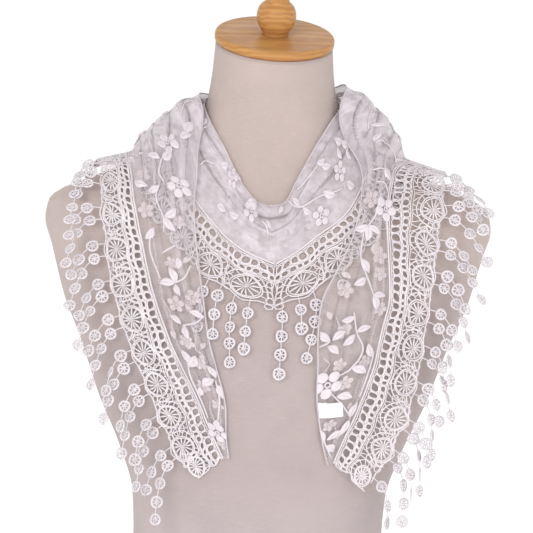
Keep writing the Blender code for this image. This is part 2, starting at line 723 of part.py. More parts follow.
def main():
    """Build every piece of the form and the shawl."""
    for thing in list(bpy.data.objects):
        bpy.data.objects.remove(thing, do_unlink=True)

    linen = make_material("linen", (0.67, 0.57, 0.50), 0.9)
    wood = make_material("wood", (0.58, 0.32, 0.12), 0.3)
    net = make_material("net", (0.80, 0.74, 0.75), 0.7)
    lace = make_material("lace", (0.87, 0.82, 0.83), 0.75)
    fringe = make_material("fringe", (0.87, 0.83, 0.84), 0.75)
    label = make_material("label", (0.93, 0.93, 0.94), 0.6)

    build_torso(linen)
    top = FORM_LEVELS[-1]
    seat = np.array([0.0, top[3], top[0] + TOUCH_GAP])
    build_lathe("neck_cap", cap_profile(), CAP_SIDES, wood, seat)
    above = (CAP_THICKNESS + TOUCH_GAP) * neck_axes()[2]
    build_lathe("finial", FINIAL_PROFILE, FINIAL_SIDES, wood, seat + above)

    left = Stretch(LEFT_SECTIONS, LEFT_FOLDS, LEFT_SLACK)
    right = Stretch(RIGHT_SECTIONS, RIGHT_FOLDS, RIGHT_SLACK)
    cowl_left = Stretch(COWL_LEFT_SECTIONS, COWL_FOLDS, COWL_SLACK)
    cowl_right = Stretch(COWL_RIGHT_SECTIONS, COWL_FOLDS, COWL_SLACK)

    for side, stretch, lean_wrap, lean_fall in (
        ("left", left, LEFT_WRAP_LEAN, LEFT_FALL_LEAN),
        ("right", right, RIGHT_WRAP_LEAN, RIGHT_FALL_LEAN),
    ):
        last = int(stretch.length / COLUMN)
        split = WRAP_COLUMNS
        build_net(side + "_wrap_net", stretch, 0, split, net)
        build_border(side + "_wrap_border", stretch, 0, split, lace, split)
        build_fringe(side + "_wrap_fringe", stretch, 0, fringe_plan(0, split, wrap_fringe),
                     fringe, lean_wrap, SHINGLE_SLOPE)
        build_net(side + "_fall_net", stretch, split, last, net, step=FALL_NET_STEP)
        build_border(side + "_fall_border", stretch, split, last, lace, last)
        build_fringe(side + "_fall_fringe", stretch, split, fringe_plan(split, last, full_fringe),
                     fringe, lean_fall, SHINGLE_SLOPE)
    build_label(right, label)

    reach = int(min(cowl_left.length, cowl_right.length) / COLUMN)
    build_cowl_net(cowl_left, cowl_right, reach, net)
    for side, stretch, discs, lean in (
        ("left", cowl_left, COWL_LEFT_DISCS, COWL_LEFT_LEAN),
        ("right", cowl_right, COWL_RIGHT_DISCS, COWL_RIGHT_LEAN),
    ):
        build_border("cowl_" + side + "_border", stretch, 0, reach, lace, COWL_CUT_COLUMNS)
        build_fringe("cowl_" + side + "_fringe", stretch, 0, list(zip(discs, COWL_LIFTS)),
                     fringe, lean, COWL_SHINGLE_SLOPE)


if __name__ == "__main__":
    main()
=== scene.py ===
"""A fringed lace shawl wrapped round its dress form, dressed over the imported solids.

Sizes in the tables are millimetres.  They become metres when a mesh is made.
"""
import logging
import math
import random
from dataclasses import dataclass, field
from enum import Enum

import bmesh
import bpy
import numpy as np
from mathutils import Matrix, Vector


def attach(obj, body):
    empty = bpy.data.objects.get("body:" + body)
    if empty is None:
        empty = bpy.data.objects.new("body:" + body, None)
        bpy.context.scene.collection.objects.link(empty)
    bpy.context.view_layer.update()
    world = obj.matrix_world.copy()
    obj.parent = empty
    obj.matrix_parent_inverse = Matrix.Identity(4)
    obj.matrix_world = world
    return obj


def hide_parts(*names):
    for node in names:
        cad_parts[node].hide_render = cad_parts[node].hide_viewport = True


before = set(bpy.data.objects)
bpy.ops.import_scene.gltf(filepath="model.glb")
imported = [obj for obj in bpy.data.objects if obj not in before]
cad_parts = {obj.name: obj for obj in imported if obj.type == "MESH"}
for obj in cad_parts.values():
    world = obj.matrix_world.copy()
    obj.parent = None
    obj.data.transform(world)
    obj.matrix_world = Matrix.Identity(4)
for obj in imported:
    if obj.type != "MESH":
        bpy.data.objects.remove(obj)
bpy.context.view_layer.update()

LOG = logging.getLogger("shawl")
MM = 0.001
BODY = "root"
THREAD_UV = "threads"

Array = np.ndarray
Triple = tuple[float, float, float]
Table = tuple[tuple[float, ...], ...]
Thing = bpy.types.Object
Material = bpy.types.Material
Tree = bpy.types.NodeTree
Socket = bpy.types.NodeSocket


class Side(Enum):
    """Which hand of the wearer's front a stretch lies on, as a viewer sees it."""

    LEFT = "left"
    RIGHT = "right"


# ---- curves and surfaces ----


def cubic(t: Array, ends: tuple[Array, Array], slopes: tuple[Array, Array]) -> Array:
    """The smooth curve between two values with given slopes.

    Args:
        t: how far from the first to the second, from nought to one.
        ends: the two values.
        slopes: the slopes there.

    Returns:
        The values between.
    """
    return (
        (2 * t**3 - 3 * t**2 + 1) * ends[0] + (3 * t**2 - 2 * t**3) * ends[1]
        + (t**3 - 2 * t**2 + t) * slopes[0] + (t**3 - t**2) * slopes[1]
    )


def read_curve(values: Array, at: Array) -> Array:
    """Read a smooth curve through evenly numbered rows.

    Args:
        values: one row for each numbered place.
        at: the places to read, in row numbers.

    Returns:
        One interpolated row for each place.
    """
    values = np.asarray(values, float)
    last = len(values) - 1
    at = np.clip(np.asarray(at, float), 0.0, last)
    first = np.clip(np.floor(at).astype(int), 0, last - 1)
    before = values[np.clip(first - 1, 0, last)]
    start = values[first]
    end = values[first + 1]
    after = values[np.clip(first + 2, 0, last)]
    t = (at - first)[:, None]
    slope_in = np.where((first == 0)[:, None], end - start, (end - before) / 2)
    slope_out = np.where((first == last - 1)[:, None], end - start, (after - start) / 2)
    return cubic(t, (start, end), (slope_in, slope_out))


def unit(vectors: Array) -> Array:
    """Vectors scaled to a length of one."""
    length = np.linalg.norm(vectors, axis=-1, keepdims=True)
    return vectors / np.maximum(length, 1e-9)


def distances(line: Array) -> Array:
    """Distances along a line of points."""
    return np.append(0.0, np.cumsum(np.linalg.norm(np.diff(line, axis=0), axis=1)))


def pair(first: Array | float, second: Array | float) -> Array:
    """The values of two arrays side by side."""
    return np.stack(np.broadcast_arrays(first, second), axis=-1)


def circle(count: int) -> Array:
    """Angles evenly spaced round a circle, in radians."""
    return np.linspace(0.0, 2 * math.pi, count, endpoint=False)


def rays(angle: Array) -> Array:
    """A flat unit vector for each angle."""
    return pair(np.cos(angle), np.sin(angle))


@dataclass
class Skein:
    """Points, faces and thread coordinates of one piece, gathered part by part."""

    points: list[Array] = field(default_factory=list)
    faces: list[Array] = field(default_factory=list)
    coords: list[Array] = field(default_factory=list)
    count: int = 0

    def add(self, points: Array, faces: Array, coords: Array) -> None:
        """Add a part.

        Args:
            points: its vertices, in millimetres.
            faces: four vertex numbers for each face, counted within the part.
            coords: the thread coordinates of each vertex, in millimetres.
        """
        points = points.reshape(-1, 3)
        self.points.append(points)
        self.faces.append(faces.reshape(-1, 4) + self.count)
        self.coords.append(np.broadcast_to(coords, (len(points), 2)).reshape(-1, 2))
        self.count += len(points)

    def grid(self, points: Array, coords: Array, wrap: bool = False) -> None:
        """Add a sheet of four-sided cells.

        Args:
            points: the vertices, as rows and columns of points.
            coords: thread coordinates, as rows and columns of pairs.
            wrap: whether the last column meets the first.
        """
        rows, cols = points.shape[:2]
        number = np.arange(rows * cols).reshape(rows, cols)
        if wrap:
            number = np.concatenate([number, number[:, :1]], axis=1)
        faces = np.stack(
            [number[:-1, :-1], number[1:, :-1], number[1:, 1:], number[:-1, 1:]], axis=-1
        )
        self.add(points, faces, coords.reshape(-1, 2))

    def threads(
        self, lines: Array, normals: Array, half_width: float | Array, half_height: float,
        closed: bool = False,
    ) -> None:
        """Add threads of a lozenge section along lines with the same number of points.

        Args:
            lines: points, as lines, places along and x y z.
            normals: the cloth's normal at each point.
            half_width: half the thread's width in the cloth.
            half_height: half its thickness off the cloth.
            closed: whether each line is a ring.
        """
        if closed:
            along = np.roll(lines, -1, axis=1) - np.roll(lines, 1, axis=1)
        else:
            along = np.gradient(lines, axis=1)
        side = unit(np.cross(along, normals))
        up = unit(np.cross(side, along))
        width = np.broadcast_to(np.asarray(half_width, float), lines.shape[:2])[..., None]
        ring = np.stack([lines + side * width, lines + up * half_height,
                         lines - side * width, lines - up * half_height], axis=2)
        count, places = lines.shape[:2]
        step = np.linalg.norm(np.diff(lines, axis=1), axis=2)
        run = np.concatenate([np.zeros((count, 1)), np.cumsum(step, axis=1)], axis=1)
        round_ = np.arange(4) * 0.8
        coords = pair(run[..., None], round_)
        number = np.arange(count * places * 4).reshape(count, places, 4)
        low = number if closed else number[:, :-1]
        high = np.roll(number, -1, axis=1) if closed else number[:, 1:]
        faces = np.stack(
            [low, np.roll(low, -1, axis=2), np.roll(high, -1, axis=2), high], axis=-1
        ).reshape(-1, 4)
        if not closed:
            ends = np.concatenate([number[:, 0, ::-1], number[:, -1]])
            faces = np.concatenate([faces, ends])
        self.add(ring, faces, coords.reshape(-1, 2))

    def mesh(self, name: str, material: Material, caps: tuple[list[int], ...] = ()) -> Thing:
        """Make an object of the gathered parts.

        Args:
            name: its name.
            material: its finish.
            caps: the vertex numbers of faces with more corners.

        Returns:
            The object, in the scene.
        """
        points = np.concatenate(self.points) * MM
        faces = np.concatenate(self.faces)
        data = bpy.data.meshes.new(name)
        data.from_pydata(points.tolist(), [], [*faces.tolist(), *caps])
        data.update()
        layer = data.uv_layers.new(name=THREAD_UV)
        corner = np.zeros(len(data.loops), int)
        data.loops.foreach_get("vertex_index", corner)
        layer.data.foreach_set("uv", np.concatenate(self.coords)[corner].ravel())
        data.shade_smooth()
        data.materials.append(material)
        thing = bpy.data.objects.new(name, data)
        bpy.context.scene.collection.objects.link(thing)
        return thing

    def piece(self, name: str, material: Material, slot: str,
              nodes: tuple[str, ...] = ()) -> Thing:
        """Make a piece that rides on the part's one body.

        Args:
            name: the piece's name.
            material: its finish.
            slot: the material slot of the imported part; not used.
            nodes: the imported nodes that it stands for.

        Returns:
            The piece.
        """
        thing = self.mesh(name, material)
        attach(thing, BODY)
        if nodes:
            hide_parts(*nodes)
        LOG.info("%s: %d faces", name, len(thing.data.polygons))
        return thing


# ---- finishes ----

FLOAT = "NodeSocketFloat"
COLOUR = "NodeSocketColor"


@dataclass
class NodeBoard:
    """Adds and joins the nodes of one tree, which a material may own."""

    tree: Tree
    owner: Material | None = None

    def add(self, kind: str, *, out: str | int = 0, **values: object) -> Socket:
        """Add a node.

        Args:
            kind: the node's type, without its ShaderNode prefix.
            out: the name or number of the output wanted.
            **values: its settings, and its inputs by name or as i0, i1 and so on.

        Returns:
            The output socket asked for.
        """
        node = self.tree.nodes.new("ShaderNode" + kind)
        for key, value in values.items():
            name = key.replace("_", " ")
            if key[0] == "i" and key[1:].isdigit():
                self.join(value, node.inputs[int(key[1:])])
            elif name in node.inputs:
                self.join(value, node.inputs[name])
            else:
                setattr(node, key, value)
        return node.outputs[out]

    def join(self, value: object, socket: Socket) -> None:
        """Link a socket, or set its value.

        Args:
            value: the socket or value that feeds it.
            socket: the input fed.
        """
        if isinstance(value, Socket):
            self.tree.links.new(value, socket)
        else:
            socket.default_value = value

    def math(self, operation: str, first: object, second: object = 0.5) -> Socket:
        """Work out a value from one or two others."""
        return self.add("Math", operation=operation, i0=first, i1=second)

    def mix(self, share: object, first: object, second: object, blend: str = "MIX") -> Socket:
        """Mix two colours."""
        return self.add("Mix", data_type="RGBA", blend_type=blend, i0=share, i6=first,
                        i7=second, out=2)

    def threads(self) -> tuple[Socket, Socket]:
        """Thread coordinates along and across."""
        along = self.add("SeparateXYZ", i0=self.add("UVMap", uv_map=THREAD_UV), out="X")
        return along, along.node.outputs["Y"]

    def drawn(self, along: float, across: float, detail: float, roughness: float) -> Socket:
        """Noise drawn out along the threads.

        Args:
            along: its frequency along them.
            across: its frequency across them.
            detail: its octaves.
            roughness: the weight of the fine ones.

        Returns:
            The noise.
        """
        x, y = self.threads()
        place = self.add("CombineXYZ", X=self.math("MULTIPLY", x, along),
                         Y=self.math("MULTIPLY", y, across))
        return self.add("TexNoise", Vector=place, Scale=1.0, Detail=detail, Roughness=roughness)

    def emboss(self, shader: bpy.types.Node, height: Socket, strength: float,
               depth: float) -> None:
        """Feed a height to a shader's normal."""
        bump = self.add("Bump", Strength=strength, Distance=depth, Height=height)
        self.join(bump, shader.inputs["Normal"])


def start_group(
    name: str, inputs: dict[str, tuple[str, object]], outputs: tuple[str, ...]
) -> tuple[NodeBoard, bpy.types.NodeOutputs, bpy.types.NodeInputs]:
    """Start a node group with named sockets.

    Args:
        name: the group's name.
        inputs: each input's socket type and first value.
        outputs: the outputs' names, each a colour where it says so and a value otherwise.

    Returns:
        The group's board, the sockets it is given and the sockets it makes.
    """
    tree = bpy.data.node_groups.new(name, "ShaderNodeTree")
    for label, (kind, value) in inputs.items():
        socket = tree.interface.new_socket(label, in_out="INPUT", socket_type=kind)
        socket.default_value = value
    for label in outputs:
        kind = COLOUR if label == "Color" else FLOAT
        tree.interface.new_socket(label, in_out="OUTPUT", socket_type=kind)
    given = tree.nodes.new("NodeGroupInput")
    made = tree.nodes.new("NodeGroupOutput")
    return NodeBoard(tree), given.outputs, made.inputs


@dataclass(frozen=True)
class Effects:
    """The node groups that more than one finish shares."""

    weave: Tree
    mottle: Tree
    twist: Tree

    @classmethod
    def make(cls) -> "Effects":
        """Build the groups once."""
        return cls(cls.make_weave(), cls.make_mottle(), cls.make_twist())

    @staticmethod
    def make_weave() -> Tree:
        """Plain weave: crossing threads with thick places along the weft.

        Returns:
            The group.
        """
        board, given, made = start_group(
            "plain_weave", {"Pitch": (FLOAT, 1.0), "Slub": (FLOAT, 0.3)}, ("Height", "Slubs"))
        turns = board.math("DIVIDE", 2 * math.pi, given["Pitch"])
        waves = [board.math("SINE", board.math("MULTIPLY", axis, turns))
                 for axis in board.threads()]
        over = board.math("MAXIMUM", *waves)
        slub = board.drawn(0.05, 0.8, 2.0, 0.5)
        slubs = board.add("MapRange", Value=slub, i1=0.5, i2=0.72)
        thick = board.math("MULTIPLY", slubs, given["Slub"])
        height = board.math("ADD", board.math("MULTIPLY", over, 0.5), thick)
        board.join(height, made["Height"])
        board.join(slubs, made["Slubs"])
        return board.tree

    @staticmethod
    def make_mottle() -> Tree:
        """Soft unevenness of tone, as mask and as a tinted colour.

        Returns:
            The group.
        """
        board, given, made = start_group(
            "mottle",
            {"Scale": (FLOAT, 20.0), "Light": (COLOUR, (1, 1, 1, 1)),
             "Dark": (COLOUR, (0.5, 0.5, 0.5, 1))},
            ("Mask", "Color"),
        )
        place = board.add("TexCoord", out="Object")
        noise = board.add("TexNoise", Vector=place, Scale=given["Scale"], Detail=4.0)
        mask = board.add("MapRange", Value=noise, i1=0.35, i2=0.65)
        board.join(mask, made["Mask"])
        board.join(board.mix(mask, given["Dark"], given["Light"]), made["Color"])
        return board.tree

    @staticmethod
    def make_twist() -> Tree:
        """Slanting plies of a twisted thread, or the laid stitches of satin.

        Returns:
            The group.
        """
        board, given, made = start_group(
            "thread_twist", {"Pitch": (FLOAT, 0.8), "Slant": (FLOAT, 0.5)}, ("Height",))
        x, y = board.threads()
        run = board.math("ADD", x, board.math("MULTIPLY", y, given["Slant"]))
        turns = board.math("DIVIDE", 2 * math.pi, given["Pitch"])
        wave = board.math("SINE", board.math("MULTIPLY", run, turns))
        board.join(board.add("MapRange", Value=wave, i1=-1.0, i2=1.0), made["Height"])
        return board.tree


def start_material(name: str, **values: object) -> tuple[NodeBoard, bpy.types.Node]:
    """Start a material.

    Args:
        name: the material's name.
        **values: settings of its Principled shader by name.

    Returns:
        The material's board and its Principled shader.
    """
    material = bpy.data.materials.new(name)
    material.use_nodes = True
    shader = material.node_tree.nodes["Principled BSDF"]
    for key, value in values.items():
        shader.inputs[key.replace("_", " ")].default_value = value
    return NodeBoard(material.node_tree, material), shader


@dataclass(frozen=True)
class Finish:
    """What every finish has: a name, and a light and a dark tone that it varies between."""

    name: str
    light: Triple
    dark: Triple

    def tone(self, board: NodeBoard, effects: Effects, scale: float) -> Socket:
        """Its uneven colour."""
        return board.add("Group", node_tree=effects.mottle, out="Color", Scale=scale,
                         Light=(*self.light, 1), Dark=(*self.dark, 1))


@dataclass(frozen=True)
class ClothFinish(Finish):
    """An opaque woven cloth, which may carry painted shade in three steps from foot to top."""

    pitch: float
    slub: float
    depth: float
    roughness: float
    # multipliers of painted shade for the foot, the middle and the top of the form
    shade_bands: tuple[Triple, ...] = ()
    levels: tuple[float, ...] = ()

    def with_painted_shade(self, board: NodeBoard, tone: Socket) -> Socket:
        """The tone with painted shade in bands by height: darker and cooler lower down.

        Args:
            board: the material's board.
            tone: the cloth's own tone.

        Returns:
            The tone with its painted shade.
        """
        height = board.add("SeparateXYZ", i0=board.add("TexCoord", out="Object"), out="Z")
        low, middle, top = ((*colour, 1) for colour in self.shade_bands)
        first = board.add("MapRange", Value=height, i1=self.levels[0], i2=self.levels[1])
        second = board.add("MapRange", Value=height, i1=self.levels[2], i2=self.levels[3])
        # painted shade: darker and greyer from the bust down, and bluer towards the foot
        painted_shade = board.mix(second, board.mix(first, low, middle), top)
        return board.mix(1.0, tone, painted_shade, "MULTIPLY")

    def make(self, effects: Effects) -> Material:
        """Build the material.

        Args:
            effects: the shared node groups.

        Returns:
            The finished material.
        """
        board, shader = start_material(
            self.name, Roughness=self.roughness, Sheen_Weight=0.15, Specular_IOR_Level=0.2)
        height = board.add("Group", node_tree=effects.weave, out="Height", Pitch=self.pitch,
                           Slub=self.slub)
        worn = board.math("MULTIPLY", height.node.outputs["Slubs"], 0.35)
        slub_tone = (*(min(1.0, c * 1.08) for c in self.light), 1)
        tone = board.mix(worn, self.tone(board, effects, 14.0), slub_tone)
        # painted shade, darker and cooler lower down the form
        if self.shade_bands:
            tone = self.with_painted_shade(board, tone)
        board.join(tone, shader.inputs["Base Color"])
        board.emboss(shader, height, 0.5, self.depth)
        return board.owner


@dataclass(frozen=True)
class NetFinish(Finish):
    """Sheer net: a see-through ground of fine threads, closer where it is gathered."""

    cover: float
    gathered: float
    open_from: tuple[float, float]
    drawn: tuple[float, float]
    streak: float
    blotch: float
    pitch: float

    def make(self, effects: Effects) -> Material:
        """Build the material.

        Args:
            effects: the shared node groups.

        Returns:
            The finished material.
        """
        board, shader = start_material(
            self.name, Roughness=0.6, Sheen_Weight=0.3, Specular_IOR_Level=0.3)
        height = board.add("Group", node_tree=effects.weave, out="Height", Pitch=self.pitch,
                           Slub=0.2)
        patches = board.add("Group", node_tree=effects.mottle, out="Mask", Scale=110.0)
        patches = board.add("MapRange", Value=patches, i3=-self.blotch, i4=self.blotch)
        along, _ = board.threads()
        opening = {"Value": along, "i1": self.open_from[0], "i2": self.open_from[1]}
        base = board.add("MapRange", **opening, i3=self.gathered, i4=self.cover)
        share = board.add("MapRange", **opening, i3=1.0, i4=0.3)
        crush = board.drawn(*self.drawn, 5.0, 0.65)
        streak = board.add("MapRange", Value=crush, i1=0.46, i2=0.70, i3=-0.03, i4=self.streak)
        weave = board.add("MapRange", Value=height, i1=-0.6, i2=0.7, i3=-0.05, i4=0.05)
        cover = board.math("ADD", base, board.math("MULTIPLY", streak, share))
        cover = board.math("ADD", cover, patches)
        board.join(board.add("Math", operation="ADD", i0=cover, i1=weave, use_clamp=True),
                   shader.inputs["Alpha"])
        board.join(self.tone(board, effects, 12.0), shader.inputs["Base Color"])
        board.emboss(shader, crush, 0.35, 0.0012)
        return board.owner


@dataclass(frozen=True)
class ThreadFinish(Finish):
    """Cotton or satin thread, with painted shade in the grooves of its twist."""

    pitch: float
    slant: float
    depth: float
    roughness: float
    sheen: float

    def make(self, effects: Effects) -> Material:
        """Build the material.

        Args:
            effects: the shared node groups.

        Returns:
            The finished material.
        """
        board, shader = start_material(
            self.name, Roughness=self.roughness, Sheen_Weight=self.sheen,
            Specular_IOR_Level=0.3)
        height = board.add("Group", node_tree=effects.twist, out="Height", Pitch=self.pitch,
                           Slant=self.slant)
        # painted shade: the tone darkened to 0.78 of itself in the grooves between plies or
        # stitches
        groove = board.add("MapRange", Value=height, i3=0.78, i4=1.0)
        shaded = board.mix(1.0, self.tone(board, effects, 60.0), groove, "MULTIPLY")
        board.join(shaded, shader.inputs["Base Color"])
        board.emboss(shader, height, 0.6, self.depth)
        return board.owner


@dataclass(frozen=True)
class WoodFinish(Finish):
    """Turned wood under a clear varnish."""

    def make(self, effects: Effects) -> Material:
        """Build the material.

        Args:
            effects: the shared node groups.

        Returns:
            The finished material.
        """
        board, shader = start_material(
            self.name, Roughness=0.5, Coat_Weight=0.1, Coat_Roughness=0.1,
            Specular_IOR_Level=0.28)
        place = board.add("TexCoord", out="Object")
        drawn = board.add("Mapping", Vector=place, Scale=(8.0, 60.0, 40.0))
        warp = board.add("TexNoise", Vector=drawn, Scale=1.0, Detail=3.0)
        rings = board.add("TexWave", Vector=drawn, Scale=1.6, Distortion=6.0, Detail=3.0,
                          wave_type="RINGS", out="Fac")
        grain = board.math("MULTIPLY", rings, warp)
        band = board.add("MapRange", Value=grain, i1=0.05, i2=0.6)
        wear = board.add("Group", node_tree=effects.mottle, out="Mask", Scale=40.0)
        board.join(board.mix(band, (*self.dark, 1), (*self.light, 1)),
                   shader.inputs["Base Color"])
        board.join(board.add("MapRange", Value=wear, i3=0.3, i4=0.5),
                   shader.inputs["Roughness"])
        board.emboss(shader, grain, 0.15, 0.0003)
        return board.owner


@dataclass(frozen=True)
class Finishes:
    """Every finish of the shawl and its form."""

    linen: Material
    wood: Material
    net: Material
    cowl: Material
    roll: Material
    lace: Material
    satin: Material
    shade: Material
    fringe: Material
    label: Material
    stitch: Material

    @classmethod
    def make(cls) -> "Finishes":
        """Build the finishes over their shared effects.

        Returns:
            The built finishes.
        """
        finishes = dict(
            linen=ClothFinish(
                "cream_linen", (0.54, 0.445, 0.42), (0.49, 0.405, 0.385), pitch=0.9, slub=0.8,
                depth=0.0004, roughness=0.9, levels=(0.10, 0.28, 0.38, 0.52),
                # painted shade on the torso: darker and greyer from the bust down, bluer towards
                # the foot
                shade_bands=((0.99, 1.04, 1.15), (0.84, 0.85, 0.88), (1.0, 0.99, 0.97))),
            wood=WoodFinish("varnished_wood", (0.53, 0.27, 0.085), (0.42, 0.195, 0.06)),
            net=NetFinish(
                "sheer_net", (0.80, 0.72, 0.755), (0.72, 0.64, 0.685), cover=0.16,
                gathered=0.60, open_from=(200.0, 290.0), drawn=(0.012, 0.13), streak=0.26,
                blotch=0.06, pitch=0.7),
            cowl=NetFinish(
                "doubled_net", (0.79, 0.73, 0.78), (0.71, 0.65, 0.70), cover=0.52,
                gathered=0.52, open_from=(0.0, 1.0), drawn=(0.02, 0.07), streak=0.26,
                blotch=0.11, pitch=0.7),
            roll=ThreadFinish(
                "rolled_net", (0.76, 0.68, 0.71), (0.66, 0.59, 0.62), pitch=0.9, slant=0.7,
                depth=0.0002, roughness=0.7, sheen=0.3),
            lace=ThreadFinish(
                "lace_thread", (0.90, 0.83, 0.86), (0.83, 0.76, 0.79), pitch=0.9, slant=0.6,
                depth=0.0002, roughness=0.75, sheen=0.3),
            satin=ThreadFinish(
                "satin_stitch", (0.83, 0.75, 0.79), (0.77, 0.69, 0.73), pitch=0.5, slant=0.0,
                depth=0.00012, roughness=0.55, sheen=0.4),
            shade=ThreadFinish(
                "matt_stitch", (0.76, 0.66, 0.67), (0.70, 0.60, 0.61), pitch=0.5, slant=0.0,
                depth=0.0001, roughness=0.8, sheen=0.2),
            fringe=ThreadFinish(
                "crochet_cotton", (0.88, 0.82, 0.85), (0.81, 0.75, 0.79), pitch=1.1, slant=0.8,
                depth=0.0003, roughness=0.8, sheen=0.3),
            label=ClothFinish(
                "woven_tape", (0.92, 0.92, 0.94), (0.88, 0.88, 0.91), pitch=0.5, slub=0.1,
                depth=0.0001, roughness=0.6),
            stitch=ThreadFinish(
                "sewing_thread", (0.82, 0.80, 0.82), (0.74, 0.72, 0.75), pitch=0.6, slant=0.5,
                depth=0.0001, roughness=0.6, sheen=0.1),
        )
        effects = Effects.make()
        return cls(**{name: finish.make(effects) for name, finish in finishes.items()})


# ---- dress form ----

# level, half width, half depth, centre y
FORM_LEVELS: Table = (
    (0, 162, 106, 2), (50, 158, 106, 3), (100, 145, 98, 4), (150, 127, 86, 3),
    (195, 119, 79, 2), (235, 121, 83, 0), (281, 134.6, 93, -4), (329, 155, 103, -8),
    (383, 174, 106, -10), (421, 190, 101, -7), (470, 204, 93, -3), (494, 211, 88, 0),
    (511, 208, 84, 2), (522, 194, 81, 3), (533, 167, 78, 5), (541, 150, 76, 6),
    (548, 131, 74, 7), (560, 105, 70, 8), (570, 86, 67, 8), (584, 71, 63.5, 7),
    (600, 63, 61, 5), (616, 60, 59, 3), (638, 57, 57, 0), (664, 55, 56, -3),
)


@dataclass
class DressForm:
    """The limbless form: a linen torso with a turned wooden neck cap and finial."""

    squareness: float = 2.25
    tilt_from: float = 616.0
    tilt: float = math.radians(19.0)
    lean: float = math.radians(2.7)
    sides: int = 112
    cap_radius: float = 56.4
    cap_thickness: float = 9.0
    cap_edge: float = 3.0
    turned_sides: int = 72
    gap: float = 0.3
    finial_profile: Table = (
        (0.0, 12.5), (3.0, 13.2), (7.0, 15.8), (12.0, 17.9), (18.0, 18.6), (24.0, 17.4),
        (28.0, 15.0), (31.0, 11.6), (35.0, 10.8), (38.0, 12.2), (43.0, 12.4), (48.0, 9.8),
        (51.0, 4.5),
    )

    def __post_init__(self) -> None:
        """Work out slopes that keep the profile free of bumps between its levels."""
        self.levels = np.array(FORM_LEVELS, float)
        level, sizes = self.levels[:, 0], self.levels[:, 1:]
        step = np.diff(level)[:, None]
        rate = np.diff(sizes, axis=0) / step
        slopes = np.zeros_like(sizes)
        slopes[0], slopes[-1] = rate[0], rate[-1]
        before, after = rate[:-1], rate[1:]
        weight_a = 2 * step[1:] + step[:-1]
        weight_b = step[1:] + 2 * step[:-1]
        same = before * after > 0
        safe_before = np.where(same, before, 1.0)
        safe_after = np.where(same, after, 1.0)
        mean = (weight_a + weight_b) / (weight_a / safe_before + weight_b / safe_after)
        slopes[1:-1] = np.where(same, mean, 0.0)
        self.slopes = slopes

    def size(self, height: Array) -> tuple[Array, Array, Array]:
        """The form's section at heights.

        Args:
            height: the heights.

        Returns:
            Half width, half depth and centre y at each.
        """
        level = self.levels[:, 0]
        height = np.clip(height, level[0], level[-1])
        row = np.clip(np.searchsorted(level, height) - 1, 0, len(level) - 2)
        step = (level[row + 1] - level[row])[..., None]
        t = (height - level[row])[..., None] / step
        size = cubic(t, (self.levels[row, 1:], self.levels[row + 1, 1:]),
                     (step * self.slopes[row], step * self.slopes[row + 1]))
        return size[..., 0], size[..., 1], size[..., 2]

    def ratio(self, points: Array) -> Array:
        """Nought on the form's surface, growing outwards.

        Args:
            points: places in millimetres.

        Returns:
            One number for each.
        """
        width, depth, centre = self.size(points[..., 2])
        across = np.abs(points[..., 0] / width) ** self.squareness
        along = np.abs((points[..., 1] - centre) / depth) ** self.squareness
        return (across + along) ** (1 / self.squareness) - 1

    def away(self, points: Array) -> tuple[Array, Array]:
        """Distance from the form, and the direction away from it.

        Args:
            points: places in millimetres.

        Returns:
            The distances, and one unit vector for each point.
        """
        reach = 0.5
        gradient = np.stack([
            self.ratio(points + reach * side) - self.ratio(points - reach * side)
            for side in np.eye(3)], axis=-1) / (2 * reach)
        steepness = np.linalg.norm(gradient, axis=-1)
        return self.ratio(points) / steepness, gradient / steepness[..., None]

    def settle(self, points: Array, clearance: Array, slack: float = math.inf) -> Array:
        """Bring points to between a clearance and that plus a slack off the form.

        Args:
            points: places in millimetres.
            clearance: the least distance off the form.
            slack: how much further off they may stand.

        Returns:
            The moved points.
        """
        for _ in range(4):
            gap, outward = self.away(points)
            push = np.clip(gap, clearance, clearance + slack) - gap
            points = points + push[..., None] * outward
        return points

    def build_torso(self, finish: Material) -> Thing:
        """The covered torso.

        Args:
            finish: its linen.

        Returns:
            The piece that stands for the torso node.
        """
        top = self.levels[-1, 0]
        heights = np.unique(np.concatenate([np.arange(0.0, top, 6.0), self.levels[:, 0]]))
        width, depth, centre = self.size(heights)
        angle = circle(self.sides) + math.pi
        sine, cosine = np.sin(angle), np.cos(angle)
        across = (
            np.abs(sine[None] / width[:, None]) ** self.squareness
            + np.abs(cosine[None] / depth[:, None]) ** self.squareness
        )
        radius = across ** (-1 / self.squareness)
        x, y = radius * sine, -radius * cosine
        share = np.maximum(heights - self.tilt_from, 0) / (top - self.tilt_from)
        slant = math.tan(self.tilt) * y - math.tan(self.lean) * x
        z = heights[:, None] + share[:, None] * slant
        points = np.stack([x, centre[:, None] + y, z], axis=-1)
        coords = pair(angle[None] * 150.0, heights[:, None])
        skein = Skein()
        skein.grid(points, coords, wrap=True)
        for ring, turn in ((points[0], -1), (points[-1], 1)):
            middle = ring.mean(axis=0)
            inner = middle + (ring - middle) * 0.02
            rings = np.stack([ring, inner])[::turn]
            skein.grid(rings, np.zeros((2, self.sides, 2)), wrap=True)
        torso = skein.piece("torso_linen", finish, "linen", ("torso",))
        fill_ends(torso)
        return torso

    def neck_axes(self) -> tuple[Array, Array, Array]:
        """The axes of the plane that tops the neck.

        Returns:
            Unit vectors across it, along it and out of it.
        """
        out = unit(np.array([math.tan(self.lean), -math.tan(self.tilt), 1.0]))
        across = unit(np.array([1.0, 0.0, -math.tan(self.lean)]))
        return across, np.cross(out, across), out

